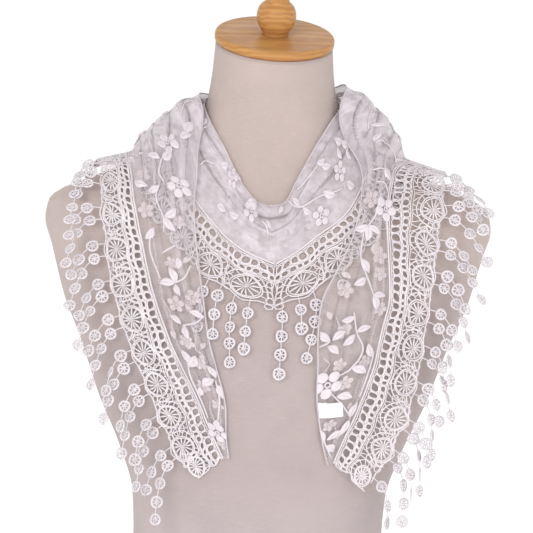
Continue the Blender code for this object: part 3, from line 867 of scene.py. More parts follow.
    def turned(self, profile: list[tuple[float, float]], name: str, node: str,
               seat: Array, finish: Material) -> None:
        """Turn a wooden piece square to the top of the neck.

        Args:
            profile: heights and radii.
            name: the piece's name.
            node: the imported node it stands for.
            seat: where its foot stands.
            finish: its wood.
        """
        profile = [(profile[0][0], 0.05), *profile, (profile[-1][0], 0.05)]
        angle = circle(self.turned_sides)
        rows = np.array(profile)
        x = rows[:, 1:] * np.cos(angle)
        y = rows[:, 1:] * np.sin(angle)
        h = np.broadcast_to(rows[:, :1], x.shape)
        across, along, out = self.neck_axes()
        points = seat + x[..., None] * across + y[..., None] * along + h[..., None] * out
        coords = pair(angle * 50.0, h)
        skein = Skein()
        skein.grid(points, coords, wrap=True)
        thing = skein.piece(name, finish, "wood", (node,))
        fill_ends(thing)
        thing.data.set_sharp_from_angle(angle=math.radians(50))

    def build_turned(self, finish: Material) -> None:
        """The neck cap and its finial.

        Args:
            finish: their wood.
        """
        quarter = np.radians(np.linspace(0, 90, 6))
        edge, thick = self.cap_edge, self.cap_thickness
        rim = self.cap_radius - edge
        cap = [(edge - edge * math.cos(a), rim + edge * math.sin(a)) for a in quarter]
        cap += [(thick - edge + edge * math.sin(a), rim + edge * math.cos(a)) for a in quarter]
        top = self.levels[-1]
        seat = np.array([0.0, top[3], top[0] + self.gap])
        self.turned(cap, "neck_cap_wood", "neck_cap", seat, finish)
        foot = seat + (thick + self.gap) * self.neck_axes()[2]
        rows = np.array(self.finial_profile)
        fine = read_curve(rows, np.linspace(0, len(rows) - 1, 46))
        self.turned([tuple(r) for r in fine], "finial_wood", "finial", foot, finish)


def fill_ends(thing: Thing) -> None:
    """Close the open rims of a piece.

    Args:
        thing: the piece.
    """
    mesh = bmesh.new()
    mesh.from_mesh(thing.data)
    bmesh.ops.remove_doubles(mesh, verts=mesh.verts[:], dist=1e-6)
    bmesh.ops.holes_fill(mesh, edges=mesh.edges[:], sides=0)
    bmesh.ops.recalc_face_normals(mesh, faces=mesh.faces[:])
    mesh.to_mesh(thing.data)
    mesh.free()


# ---- stretches of the shawl ----

# hem x y z, seam x y z, edge x y z, rise, clearance
LEFT_SECTIONS: Table = (
    (28, 60, 606, 16, 78, 560, 6, 88, 520, 2, 1.2),
    (-6, 62, 609, -14, 78, 560, -20, 88, 519, 2, 1.2),
    (-44, 48, 611, -55, 70, 556, -60, 82, 518, 3, 3.0),
    (-63, 22, 614, -95, 60, 549, -113, 72, 521, 7, 7.5),
    (-68, -8, 613, -121, 30, 549, -146, 52, 532, 7, 8.0),
    (-69, -35, 602, -129, -5, 549, -163, 15, 539, 7, 8.5),
    (-68, -58, 574, -129, -35, 545, -160, -10, 539, 8, 8.5),
    (-66, -74, 543, -126, -56, 538, -154, -34, 535, 8, 8.5),
    (-67, -84, 514, -121, -77, 512, -149, -56, 510, 6, 8.5),
    (-64, -95, 483, -113, -88, 481, -145, -70, 478, 4, 8.0),
    (-60, -102, 458, -106, -95, 454, -140, -79, 447, 3, 7.5),
    (-55, -109, 430, -98, -102, 428, -132, -88, 418, 3, 7.5),
    (-50, -117, 400, -87, -109, 400, -122, -96, 387, 3, 5.0),
    (-42, -120, 370, -73, -115, 368, -109, -100, 351, 2, 1.6),
    (-33, -117, 338, -58, -113, 340, -95, -98, 320, 2, 1.6),
    (-31, -109, 305, -44, -107, 308, -79, -91, 285, 1, 1.6),
    (-28, -103, 283, -33, -101, 284, -57, -91, 262, 0, 1.6),
)
RIGHT_SECTIONS: Table = (
    (-44, 56, 606, -26, 78, 560, -10, 90, 521, 2, 9.5),
    (0, 62, 610, 8, 80, 561, 16, 90, 521, 4, 9.5),
    (44, 48, 619, 56, 72, 557, 64, 84, 520, 8, 9.0),
    (64, 20, 627, 94, 62, 550, 115, 74, 523, 9, 9.0),
    (69, -8, 625, 119, 32, 551, 148, 54, 533, 9, 9.0),
    (72, -34, 612, 126, 0, 553, 165, 18, 539, 10, 8.2),
    (78, -56, 585, 121, -30, 554, 163, -10, 538, 10, 8.2),
    (84, -69, 556, 112, -52, 547, 160, -34, 532, 9, 9.0),
    (83, -80, 522, 106, -74, 517, 156, -54, 509, 5, 9.0),
    (76, -90, 489, 108, -87, 486, 153, -70, 480, 3, 8.5),
    (62, -103, 458, 110, -93, 458, 151, -76, 452, 3, 8.0),
    (51, -109, 434, 111, -97, 433, 149, -82, 423, 3, 6.5),
    (48, -116, 405, 105, -104, 405, 146, -86, 391, 3, 5.5),
    (49, -119, 372, 99, -107, 372, 140, -89, 354, 2, 3.5),
    (50, -115, 340, 91, -107, 342, 132, -91, 319, 2, 1.6),
    (56, -105, 304, 77, -101, 308, 117, -86, 283, 1, 1.6),
    (63, -97, 279, 68, -96, 281, 95, -84, 258, 0, 1.6),
)
COWL_LEFT_SECTIONS: Table = (
    (0, -86, 516, 8, -104, 466, 8, -113, 424, 6, 2.0),
    (-12, -84, 520, -18, -101, 476, -32, -110, 438, 6, 2.0),
    (-27, -76, 538, -38, -95, 489, -60, -104, 455, 4, 2.0),
    (-42, -62, 566, -62, -84, 514, -92, -91, 485, 2, 2.0),
    (-57, -42, 588, -78, -70, 536, -110, -78, 508, 1, 2.0),
    (-63, -20, 601, -88, -38, 560, -124, -44, 538, 1, 2.0),
    (-62, 8, 608, -88, 4, 568, -120, 4, 549, 1, 2.0),
    (-54, 30, 611, -78, 34, 572, -100, 42, 552, 0, 2.0),
)
COWL_RIGHT_SECTIONS: Table = (
    (0, -86, 516, 8, -104, 466, 8, -113, 424, 6, 2.0),
    (15, -84, 520, 27, -100, 478, 41, -109, 440, 6, 2.0),
    (25, -77, 540, 47, -94, 494, 70, -100, 461, 4, 2.0),
    (41, -60, 570, 70, -84, 512, 100, -90, 488, 2, 2.0),
    (56, -42, 592, 84, -68, 536, 122, -70, 517, 1, 2.0),
    (63, -20, 603, 91, -36, 560, 128, -42, 538, 1, 2.0),
    (62, 8, 609, 88, 4, 568, 120, 4, 549, 1, 2.0),
    (54, 30, 611, 78, 34, 572, 100, 42, 552, 0, 2.0),
)
# the folds, then the soft creases between them:
# first section, last section, place across at each, half width, height
LEFT_FOLDS: Table = (
    (3.0, 9.0, 0.25, 0.24, 0.12, 5.0),
    (3.2, 10.0, 0.52, 0.54, 0.10, 5.0),
    (3.5, 7.5, 0.78, 0.80, 0.09, 3.5),
    (8.0, 14.0, 0.30, 0.42, 0.12, 3.0),
    (10.0, 15.5, 0.78, 0.66, 0.12, 2.5),
    (0.5, 5.0, 0.40, 0.12, 0.035, 1.8),
    (2.0, 8.5, 0.12, 0.40, 0.030, 2.2),
    (4.0, 9.5, 0.66, 0.64, 0.030, 2.0),
    (5.5, 11.5, 0.92, 0.70, 0.030, 1.8),
    (7.0, 13.0, 0.14, 0.20, 0.040, 1.6),
    (9.0, 15.0, 0.55, 0.50, 0.035, 1.5),
)
RIGHT_FOLDS: Table = (
    (0.0, 7.5, 0.26, 0.24, 0.12, 5.0),
    (1.5, 8.5, 0.54, 0.50, 0.10, 5.0),
    (3.0, 7.0, 0.80, 0.78, 0.09, 3.5),
    (8.5, 15.0, 0.34, 0.26, 0.12, 3.0),
    (9.5, 14.5, 0.72, 0.80, 0.11, 3.0),
    (0.5, 5.0, 0.66, 0.38, 0.035, 2.0),
    (2.5, 8.0, 0.10, 0.38, 0.030, 2.2),
    (4.0, 9.0, 0.66, 0.66, 0.030, 2.0),
    (6.0, 10.5, 0.90, 0.62, 0.035, 2.0),
    (8.0, 14.0, 0.12, 0.10, 0.035, 1.6),
    (9.0, 15.0, 0.50, 0.56, 0.035, 1.6),
)
COWL_FOLDS: Table = (
    (-1.0, 2.8, 0.12, 0.06, 0.09, 4.5),
    (-1.0, 2.8, 0.38, 0.42, 0.10, 4.5),
    (-1.0, 2.6, 0.66, 0.76, 0.09, 3.0),
    (-1.5, 0.9, 0.30, 0.20, 0.070, 1.0),
    (-0.7, 1.6, 0.50, 0.66, 0.080, 1.1),
    (0.6, 1.9, 0.84, 0.70, 0.070, 0.9),
    (1.4, 2.9, 0.52, 0.40, 0.060, 1.1),
    (1.2, 5.0, 0.10, 0.30, 0.070, 1.0),
    (2.4, 5.5, 0.60, 0.70, 0.070, 1.0),
)


@dataclass
class Stretch:
    """One run of the shawl between its hem, border seam and scalloped edge."""

    form: DressForm
    sections: Table
    folds: Table
    slack: Triple
    fold_width: float = 80.0
    fold_end: float = 0.08
    flute: float = 3.0
    flute_length: float = 5.6
    drift: float = 1.6
    drift_length: float = 31.0
    step: float = 2.5
    net_columns: int = 33
    lace_columns: int = 20
    past_edge: float = 1.3

    def __post_init__(self) -> None:
        """Measure the seam, and chart the cloth and its normals on a fine grid."""
        self.rows = np.array(self.sections, float)
        self.fine = np.linspace(0.0, len(self.rows) - 1, 60 * len(self.rows))
        seam = read_curve(self.rows[:, 3:6], self.fine)
        self.travel = distances(seam)
        self.length = float(self.travel[-1])
        self.chart_s = np.linspace(0.0, self.length, int(self.length / self.step) + 1)
        self.chart_a = np.concatenate([np.linspace(-1, 0, self.net_columns),
                                       np.linspace(0, self.past_edge, self.lace_columns)[1:]])
        points = self.surface(self.chart_s, self.chart_a)
        along = np.gradient(points, axis=0)
        sideways = np.gradient(points, axis=1)
        normal = unit(np.cross(along, sideways))
        _, outward = self.form.away(points)
        sign = math.copysign(1.0, float(np.sum(normal * outward)))
        self.chart = np.concatenate([points, normal * sign], axis=-1)

    def fold_height(self, place: Array, across: Array) -> Array:
        """Height of the raised folds.

        Args:
            place: places along, in section numbers.
            across: places across the net, hem 0 and seam 1.

        Returns:
            The heights.
        """
        height = np.zeros(np.broadcast(place, across).shape)
        for first, last, start, end, half_width, tall in self.folds:
            along = (place - first) / (last - first)
            centre = start + (end - start) * along
            painted_shade = np.sin(math.pi * np.clip(along, 0.0, 1.0)) ** 0.6
            height += tall * painted_shade * np.exp(-(((across - centre) / half_width) ** 2))
        return height

    def surface(self, travel: Array, across: Array) -> Array:
        """Points at distances along the seam.

        Args:
            travel: distances along the seam, in millimetres.
            across: hem -1, seam 0, edge 1, as a row or as one row for each distance.

        Returns:
            The points, as distances by places across.
        """
        place = np.interp(travel, self.travel, self.fine)
        row = read_curve(self.rows, place)[:, None, :]
        rise, clearance = row[..., 9], row[..., 10]
        hem, seam, edge = (
            self.form.settle(row[..., 3 * k:3 * k + 3], clearance, self.slack[k])
            for k in range(3)
        )
        across = np.asarray(across, float)
        if across.ndim == 1:
            across = np.broadcast_to(across, (len(place), len(across)))
        net = np.clip(across + 1, 0.0, 1.0)
        lace = np.maximum(across, 0.0)
        chord = hem + (seam - hem) * net[..., None] + (edge - seam) * lace[..., None]
        _, outward = self.form.away((hem + seam) / 2)
        swell = 4 * net * (1 - net) * rise
        width = np.linalg.norm(seam - hem, axis=-1)
        folds = self.fold_height(place[:, None], net) * (across < 0)
        folds *= np.clip(width / self.fold_width, 0.0, 1.0)
        folds *= np.clip(-across / self.fold_end, 0.0, 1.0)
        drift = self.drift * np.sin(travel / self.drift_length)
        wave = np.sin(travel / self.flute_length + drift)
        flutes = self.flute * (0.5 + 0.5 * wave)[:, None] * lace
        points = self.form.settle(chord + swell[..., None] * outward, clearance)
        _, outward = self.form.away(points)
        return points + (folds + flutes)[..., None] * outward

    def widths(self, travel: Array) -> tuple[Array, Array]:
        """Width of the net and of the lace.

        Args:
            travel: distances along the seam.

        Returns:
            Both widths, the same shape.
        """
        place = np.interp(travel, self.travel, self.fine)
        row = read_curve(self.rows, place.ravel())
        net = np.linalg.norm(row[:, 3:6] - row[:, 0:3], axis=1).reshape(place.shape)
        lace = np.linalg.norm(row[:, 6:9] - row[:, 3:6], axis=1).reshape(place.shape)
        return net, lace

    def at(self, travel: Array, across: Array, lift: float | Array = 0.0) -> tuple[Array, Array]:
        """Read the charted cloth at scattered places.

        Args:
            travel: distances along the seam.
            across: places across, the same shape.
            lift: distance off the middle of the cloth.

        Returns:
            The points and the cloth's normals.
        """
        s = np.clip(travel, 0.0, self.length) / self.length * (len(self.chart_s) - 1)
        a = np.interp(across, self.chart_a, np.arange(len(self.chart_a)))
        i = np.clip(s.astype(int), 0, len(self.chart_s) - 2)
        j = np.clip(a.astype(int), 0, len(self.chart_a) - 2)
        u, v = (s - i)[..., None], (a - j)[..., None]
        chart = self.chart
        both = (
            chart[i, j] * (1 - u) * (1 - v) + chart[i + 1, j] * u * (1 - v)
            + chart[i, j + 1] * (1 - u) * v + chart[i + 1, j + 1] * u * v
        )
        normal = unit(both[..., 3:])
        lift = np.broadcast_to(np.asarray(lift, float), travel.shape)[..., None]
        return both[..., :3] + normal * lift, normal

    def at_mm(self, lines: Array, lift: float | Array = 0.0) -> tuple[Array, Array]:
        """Read the cloth at places given as distances along and past the seam.

        Args:
            lines: pairs of distance along and distance past the seam, the lace's way.
            lift: distance off the middle of the cloth.

        Returns:
            The points and the cloth's normals.
        """
        net, lace = self.widths(lines[..., 0])
        past = lines[..., 1]
        return self.at(lines[..., 0], np.where(past > 0, past / lace, past / net), lift)


@dataclass
class Net:
    """The sheer embroidered ground of one stretch, with its pleats and rolled hem."""

    stretch: Stretch
    pleats: Table
    spacing: float = 3.0
    span: float = 3.5
    widest: float = 85.0
    layer: float = 0.55
    settle_over: float = 7.0
    sway: float = 0.02
    sway_length: float = 17.0
    hem_radius: float = 0.8
    hem_step: float = 2.5

    def lines(self, travel: Array) -> tuple[Array, Array]:
        """Places across and lifts of the net's lines, doubled back at each pleat.

        Args:
            travel: distances along the seam.

        Returns:
            Places across and lifts, as distances by lines.
        """
        net, _ = self.stretch.widths(travel)
        back = np.array([0.12, 0.5, 0.88])[None]
        across, lift = [], []
        start = np.full_like(travel, -1.0)
        raised = np.zeros_like(travel)
        passed = -1.0
        for first, last, begin, end, half in (*self.pleats, (0.0, 1.0, 0.0, 0.0, 0.0)):
            along = np.clip((travel - first) / (last - first), 0.0, 1.0)
            open_ = np.sin(math.pi * along) ** 0.5 + 0.01
            sway = self.sway * np.sin(travel / self.sway_length + begin * 9)
            turn = (half * open_ / net) if half else np.zeros_like(travel)
            place = begin + (end - begin) * along + (sway if half else 0.0)
            stop = place + turn
            count = max(int((begin - passed) * self.widest / self.span), 5)
            passed = begin
            t = np.linspace(0, 1, count)[None]
            gap = (stop - start)[:, None]
            drop = np.exp(-t * gap * net[:, None] / self.settle_over * 2)
            across.append(start[:, None] + gap * t)
            lift.append(raised[:, None] * drop)
            start = place - turn
            raised = 2 * self.layer * open_
            if half:
                across.append(stop[:, None] + (start - stop)[:, None] * back)
                lift.append(raised[:, None] * back)
        return np.concatenate(across, axis=1), np.concatenate(lift, axis=1)

    def sheet(self) -> tuple[Array, Array]:
        """The ground of the stretch.

        Returns:
            The points and their thread coordinates.
        """
        length = self.stretch.length
        travel = np.linspace(0, length, int(length / self.spacing))
        across, lift = self.lines(travel)
        grid = np.broadcast_to(travel[:, None], across.shape)
        points, _ = self.stretch.at(grid, across, lift)
        net, _ = self.stretch.widths(travel)
        return points, pair(grid, net[:, None] * across)

    def joined(self, other: "Net") -> tuple[Array, Array]:
        """This ground and another that starts where it does, in one sheet.

        Args:
            other: the other ground.

        Returns:
            The points and their thread coordinates.
        """
        first, first_at = self.sheet()
        second, second_at = other.sheet()
        middle = (first[:1] + second[:1]) / 2
        points = np.concatenate([first[:0:-1], middle, second[1:]])
        return points, np.concatenate([first_at[:0:-1] * (-1, 1), second_at])

    def roll_hem(self, skein: Skein) -> None:
        """Add the rolled hem.

        Args:
            skein: where it goes.
        """
        length = self.stretch.length
        travel = np.linspace(0.5, length - 0.5, int(length / self.hem_step))
        net, _ = self.stretch.widths(travel)
        line, normal = self.stretch.at(travel, -1 + self.hem_radius * 0.6 / net, 0.3)
        skein.threads(line[None], normal[None], self.hem_radius, self.hem_radius * 0.8)


@dataclass
class LaceBorder:
    """The scalloped needle lace: cords, ladders, eyelets, arches and wheels.

    Its lines are pairs of distance along the seam and distance past it.
    """

    stretch: Stretch
    skein: Skein
    pitch: float = 30.0
    wheel_phase: float = 20.0
    wheel_share: float = 0.28
    wheel_limit: float = 10.8
    end_clear: float = 20.0
    end_inset: float = 9.0
    end_radius: float = 8.5
    rim: float = 1.0
    spokes: int = 13
    inner_ring: float = 0.88
    cords: Table = ((0.8, 0.9, 0.7), (2.7, 0.6, 0.5))
    ladder_share: float = 0.26
    eyelet_share: float = 0.40
    ground_share: float = 0.435
    thread: float = 0.65
    fine: float = 0.5
    arch: float = 4.2
    arch_turn: float = 118.0
    arch_bars: int = 11
    ladder_pitch: float = 7.5
    eyelet_pitch: float = 6.0
    bar_pitch: float = 4.4
    bar_lean: float = 1.2
    wobble: float = 1.3
    margin: float = 0.3

    def __post_init__(self) -> None:
        """Place the wheels: distances along the seam and past it, and radii."""
        length = self.stretch.length
        along = np.arange(self.wheel_phase, length - self.end_clear, self.pitch)
        self.along = np.append(along, length - self.end_inset)
        _, lace = self.stretch.widths(self.along)
        self.radius = np.minimum(self.wheel_limit, self.wheel_share * lace)
        self.radius[-1] = min(self.radius[-1], self.end_radius)
        self.past = lace - self.radius - self.rim
        self.centres = pair(self.along, self.past)

    def wander(self, lines: Array) -> Array:
        """Pull places a little out of line, alike for neighbours, as hand work is.

        Args:
            lines: the places.

        Returns:
            The moved places.
        """
        x, y = lines[..., 0], lines[..., 1]
        shift = pair(0.6 * np.sin(y / 3.3 + x / 6.1) + 0.4 * np.sin(x / 2.7 + 1.7),
                     0.6 * np.sin(x / 4.3 + 0.8) + 0.4 * np.sin(y / 2.9 + x / 7.7))
        return lines + shift * self.wobble * np.clip(y / 8.0, 0.0, 1.0)[..., None]

    def add_lines(self, lines: Array, width: float | Array, height: float = 0.45,
                  closed: bool = False) -> None:
        """Threads along lines of places in the cloth.

        Args:
            lines: the lines of places.
            width: half the threads' width.
            height: half their thickness.
            closed: whether each is a ring.
        """
        lines = self.wander(np.array(lines, float))
        lines[..., 0] = np.clip(lines[..., 0], self.margin, self.stretch.length - self.margin)
        points, normal = self.stretch.at_mm(lines)
        self.skein.threads(points, normal, width, height, closed)

    def add_rings(self, centres: Array, radii: Array, width: float, places: int = 12,
                  power: float = 1.0) -> None:
        """Closed rings, round or squared off.

        Args:
            centres: their middles.
            radii: pairs of half lengths along and across.
            width: half the thread's width.
            places: points round each ring.
            power: under one to square them off.
        """
        ring = rays(circle(places) + math.pi / places)
        ring = np.sign(ring) * np.abs(ring) ** power
        lines = centres[:, None, :] + ring[None] * radii[:, None, :]
        self.add_lines(lines, width, width * 0.8, closed=True)

    def add_cords(self) -> None:
        """The cords that run along the border."""
        length = self.stretch.length
        travel = np.linspace(0.4, length - 0.4, int(length / 2.5))
        _, lace = self.stretch.widths(travel)
        for past, half_width, half_height in self.cords:
            self.add_lines(pair(travel, past)[None], half_width, half_height)
        for share, width in (
            (self.ladder_share, 0.7), (self.eyelet_share, 0.6), (self.ground_share, 0.4),
        ):
            self.add_lines(pair(travel, share * lace)[None], width)

    def add_ladder(self) -> None:
        """The row of squared openings, and the row of round eyelets beside it."""
        for pitch, low, high, fill in (
            (self.ladder_pitch, 0.08, self.ladder_share, 0.45),
            (self.eyelet_pitch, self.ladder_share + 0.01, self.eyelet_share - 0.01, 0.42),
        ):
            along = np.arange(pitch / 2, self.stretch.length - 1.5, pitch)
            _, lace = self.stretch.widths(along)
            half = (high - low) / 2 * lace - 0.4
            self.add_rings(pair(along, (low + high) / 2 * lace), pair(pitch * fill, half), 0.6,
                           10, 0.8)
            bars = along + pitch / 2
            for shift in (-0.35, 0.35):
                lines = np.stack([
                    pair(bars + shift, np.interp(bars, along, low * lace + lift))
                    for lift in np.linspace(0.0, 1.0, 3) * float((high - low) * lace.mean())
                ], axis=1)
                self.add_lines(lines, self.fine)

    def add_wheels(self) -> None:
        """Wheels of fat spokes inside a double rim."""
        both = pair(self.radius, self.radius)
        self.add_rings(self.centres, both, 0.75, 26)
        self.add_rings(self.centres, both * self.inner_ring, 0.6, 22)
        self.add_rings(self.centres, both * 0.08, 0.7, 6)
        reach = np.array([0.1, 0.5, 0.88])[:, None] * self.radius[:, None, None, None]
        lines = self.centres[:, None, None] + rays(circle(self.spokes))[:, None] * reach
        lines = lines.reshape(-1, 3, 2)
        self.add_lines(lines, np.broadcast_to((0.35, 0.9, 0.65), lines.shape[:2]))

    def add_arches(self) -> None:
        """An arch over each wheel, held off it by bars, and the bars that hold the arch."""
        centre, low = self.along[:, None], self.past[:, None]
        reach = (self.radius + self.arch)[:, None]
        floor = self.ground_share * self.stretch.widths(self.along)[1][:, None]

        def curve(turn: Array, radius: Array, lean: float, base: float | Array) -> Array:
            """Places round the wheels at angles from their tops, none nearer than a base."""
            return pair(centre + radius * np.sin(turn + lean),
                        np.maximum(low - radius * np.cos(turn + lean), base))

        turn = np.radians(np.linspace(-self.arch_turn, self.arch_turn, 22))
        self.add_lines(curve(turn, reach, 0.0, floor), self.thread)
        turn = np.radians(np.linspace(-112, 112, self.arch_bars))
        start = curve(turn, self.radius[:, None] + 0.3, 0.0, 0.0)
        end = curve(turn, reach, 0.05, floor)
        bars = np.stack([start, (start + end) / 2, end], axis=2).reshape(-1, 3, 2)
        self.add_lines(bars, self.fine)

    def add_bars(self) -> None:
        """Leaning bars from the eyelets to the arches."""
        bars = np.arange(1.6, self.stretch.length - 1.0, self.bar_pitch)
        _, lace = self.stretch.widths(bars)
        nearest = np.argmin(np.abs(bars[:, None] - self.along[None]), axis=1)
        offset = bars - self.along[nearest]
        reach = self.radius[nearest] + self.arch
        depth = np.sqrt(np.maximum(reach**2 - offset**2, 0.0))
        start = self.ground_share * lace
        end = np.where(np.abs(offset) < reach, self.past[nearest] - depth, start + 5.0)
        end = np.maximum(end, start + 0.3)
        lean = np.where(np.arange(len(bars)) % 2, self.bar_lean, -self.bar_lean)
        lines = np.stack([
            pair(bars + lean * t, start + (end - start) * (t + 1) / 2)
            for t in (-1.0, 0.0, 1.0)], axis=1)
        self.add_lines(lines, self.fine)

    def add_joins(self) -> None:
        """Rounded cells that fill the ground between neighbouring wheels."""
        middle = (self.along[:-1] + self.along[1:]) / 2
        level = (self.past[:-1] + self.past[1:]) / 2
        size = (self.radius[:-1] + self.radius[1:]) / 2
        _, lace = self.stretch.widths(middle)
        floor = (self.eyelet_share + 0.06) * lace
        for shift, rise, half in (
            (0.0, 0.0, 3.3), (-3.2, 0.62, 2.8), (3.2, 0.62, 2.8), (0.0, -0.62, 3.2),
        ):
            place = np.maximum(level + rise * size, floor + 2.4)
            centres = pair(middle + shift, place)
            self.add_rings(centres, np.full_like(centres, half), 0.55, 9)

    def add_end(self) -> None:
        """A stitched bar across the border where it ends."""
        travel = self.stretch.length - 0.7
        _, lace = self.stretch.widths(np.array([travel]))
        past = np.linspace(0.02, 0.93, 14) * lace[0]
        line = pair(travel - 1.2 - 1.2 * np.sin(past / 2.6), past)
        self.add_lines(line[None], 0.7, 0.6)

    def add_mitre(self) -> None:
        """Rounded cells beside the mitre, and the thin bar that joins its two halves."""
        _, lace = self.stretch.widths(np.array([4.0]))
        share = np.array([0.48, 0.60, 0.72, 0.84, 0.95])
        centres = pair(3.2, share * lace[0])
        self.add_rings(centres, np.full_like(centres, 2.7), 0.6, 10)
        past = np.linspace(0.02, 1.0, 14) * lace[0]
        self.add_lines(pair(self.margin, past)[None], 0.45)

    def make(self) -> None:
        """Work the whole border into the skein."""
        self.add_cords()
        self.add_ladder()
        self.add_wheels()
        self.add_arches()
        self.add_bars()
        self.add_joins()
        self.add_end()


@dataclass(frozen=True)
class Chart:
    """Where the motifs of one stretch lie.

    Each has a distance along the seam, and a place in from it in hundredths of the net's width.
    """

    stems: tuple[Table, ...]
    leaves: Table
    flowers: Table


@dataclass
class Embroidery:
    """Leaves, stems and flowers raised on the net in satin stitch."""

    stretch: Stretch
    skein: Skein
    leaf_share: float = 0.24
    leaf_height: float = 1.4
    leaf_bend: float = 0.08
    groove: float = 0.35
    stem: float = 1.0
    petal: float = 4.7
    spread: float = 1.74
    petals: int = 5
    petal_height: float = 1.1
    eye: float = 2.2
    lift: float = 0.5

    def add_leaf(self, base: Array, turn: float, length: float) -> None:
        """One raised almond with a groove along its midrib.

        Args:
            base: where it starts, as distances along and past the seam.
            turn: its direction in the cloth, in degrees.
            length: its length.
        """
        t = np.linspace(0, 1, 12)
        side = np.array([-1.0, -0.7, -0.15, 0.0, 0.15, 0.7, 1.0])
        dome = np.array([0.0, 0.85, 1.0, self.groove, 1.0, 0.85, 0.0])
        swell = np.sin(math.pi * t**0.92) * length * self.leaf_share + 0.2
        bend = self.leaf_bend * length * np.sin(math.pi * t)
        x = t[:, None] * length
        y = swell[:, None] * side[None] + bend[:, None]
        heading = math.radians(turn)
        cos_h, sin_h = math.cos(heading), math.sin(heading)
        place = pair(base[0] + x * cos_h - y * sin_h, base[1] + x * sin_h + y * cos_h)
        rise = self.lift + dome[None] * self.leaf_height * np.sin(math.pi * t)[:, None] ** 0.4
        points, _ = self.stretch.at_mm(place, rise)
        self.skein.grid(points, pair(x, y * 0.4 * np.sign(side)))

    def add_stem(self, line: Array) -> None:
        """A corded stem.

        Args:
            line: a few places that it passes through.
        """
        places = np.linspace(0, len(line) - 1, 9 * len(line) - 8)
        points, normal = self.stretch.at_mm(read_curve(line, places), self.lift + 0.3)
        width = self.stem * (0.75 + 0.25 * np.sin(np.linspace(0, math.pi, len(places))))
        self.skein.threads(points[None], normal[None], width[None], self.stem * 0.6)

    def add_flower(self, centre: Array, turn: float, scale: float) -> None:
        """Rounded petals round a worked eye.

        Args:
            centre: its middle, as distances along and past the seam.
            turn: its rotation in the cloth, in degrees.
            scale: its size.
        """
        round_ = circle(18)
        reach = np.array([1.0, 0.86, 0.5, 0.12])
        rise = np.array([0.0, 0.85, 1.0, 0.7]) * self.petal_height
        for k in range(self.petals):
            angle = math.radians(turn) + 2 * math.pi * k / self.petals
            out = np.array([math.cos(angle), math.sin(angle)])
            across = np.array([-out[1], out[0]])
            middle = centre + out * self.petal * self.spread * scale
            ring = (
                np.cos(round_)[:, None] * out * 1.05 + np.sin(round_)[:, None] * across
            ) * self.petal * scale
            place = middle + ring[:, None] * reach[None, :, None]
            lifts = self.lift + 0.05 * k + rise[None] + np.zeros((len(round_), 1))
            points, _ = self.stretch.at_mm(place, lifts)
            run = reach * self.petal
            coords = pair(round_[:, None] * self.petal * 0.8, run)
            self.skein.grid(points.swapaxes(0, 1), coords.swapaxes(0, 1), wrap=True)
            cap, _ = self.stretch.at_mm(middle + ring * 0.12, self.lift + 0.05 * k + rise[-1])
            inner = np.broadcast_to(cap.mean(axis=0), cap.shape)
            self.skein.grid(np.stack([cap, cap * 0.1 + inner * 0.9]),
                            coords[:, :2].swapaxes(0, 1), wrap=True)
        ring = rays(circle(10)) * self.eye * scale + centre
        points, normal = self.stretch.at_mm(ring, self.lift + self.petal_height)
        self.skein.threads(points[None], normal[None], 0.9, 0.7, closed=True)

    def place(self, along: float, across: float) -> Array:
        """Distances along and past the seam of a charted place."""
        net, _ = self.stretch.widths(np.array([along]))
        return np.array([along, -across / 100 * net[0]])

    def make(self, chart: Chart) -> None:
        """Work a chart of motifs into the skein.

        Args:
            chart: the motifs.
        """
        for line in chart.stems:
            self.add_stem(np.array([self.place(*spot) for spot in line]))
        for along, across, turn, length in chart.leaves:
            self.add_leaf(self.place(along, across), turn, length)
        for along, across, turn, scale in chart.flowers:
            self.add_flower(self.place(along, across), turn, scale)


@dataclass
class ShadowWork(Embroidery):
    """The fainter motifs that show through the net, worked flatter and under it."""

    leaf_height: float = 0.35
    groove: float = 0.8
    stem: float = 0.7
    petal_height: float = 0.35
    lift: float = -1.0


# stems: along, across; leaves: along, across, turn, length; flowers: along, across, turn, scale
LEFT_CHART = Chart(
    stems=(
        ((18, 20), (30, 50), (52, 62), (76, 45)),
        ((88, 40), (104, 22), (126, 30), (140, 52)),
        ((196, 79), (175, 85), (169, 90), (180, 94)),
        ((211, 34), (219, 36), (226, 38)),
        ((239, 51), (250, 46), (261, 52)),
        ((264, 46), (274, 39), (292, 47), (306, 44)),
        ((302, 25), (320, 12), (349, 21)),
        ((353, 49), (349, 68), (338, 84)),
        ((318, 62), (325, 35)),
        ((382, 96), (389, 75), (392, 45)),
        ((424, 29), (442, 13), (460, 12), (484, 16)),
        ((446, 86), (462, 82), (484, 62)),
    ),
    leaves=(
        (30, 50, 150, 14), (40, 58, 20, 14), (52, 62, 215, 13), (76, 45, 60, 15),
        (76, 45, 350, 14), (104, 24, 100, 13), (116, 26, 330, 14), (140, 52, 60, 14),
        (140, 52, 350, 15), (140, 52, 280, 13), (166, 62, 130, 13), (184, 40, 20, 14),
        (204, 89, 39, 15), (215, 89, 58, 12), (239, 49, 120, 13),
        (239, 52, 229, 15), (255, 3, 301, 15), (267, 25, 261, 12),
        (292, 49, 235, 15), (292, 49, 331, 15), (311, 7, 225, 14),
        (353, 51, 165, 15), (353, 49, 90, 15), (354, 49, 352, 11),
        (341, 60, 187, 12), (384, 96, 115, 13), (392, 49, 5, 13), (391, 42, 137, 12),
        (429, 27, 176, 14), (433, 20, 224, 17), (444, 90, 166, 13),
        (445, 82, 63, 15), (450, 92, 8, 13), (462, 12, 207, 11), (484, 60, 20, 12),
    ),
    flowers=(
        (12, 70, 0, 0.85), (92, 72, 20, 0.9), (120, 76, 50, 0.75), (180, 18, 10, 0.8),
        (224, 62, 10, 0.8), (263, 76, 15, 0.85), (498, 45, 0, 0.8),
    ),
)
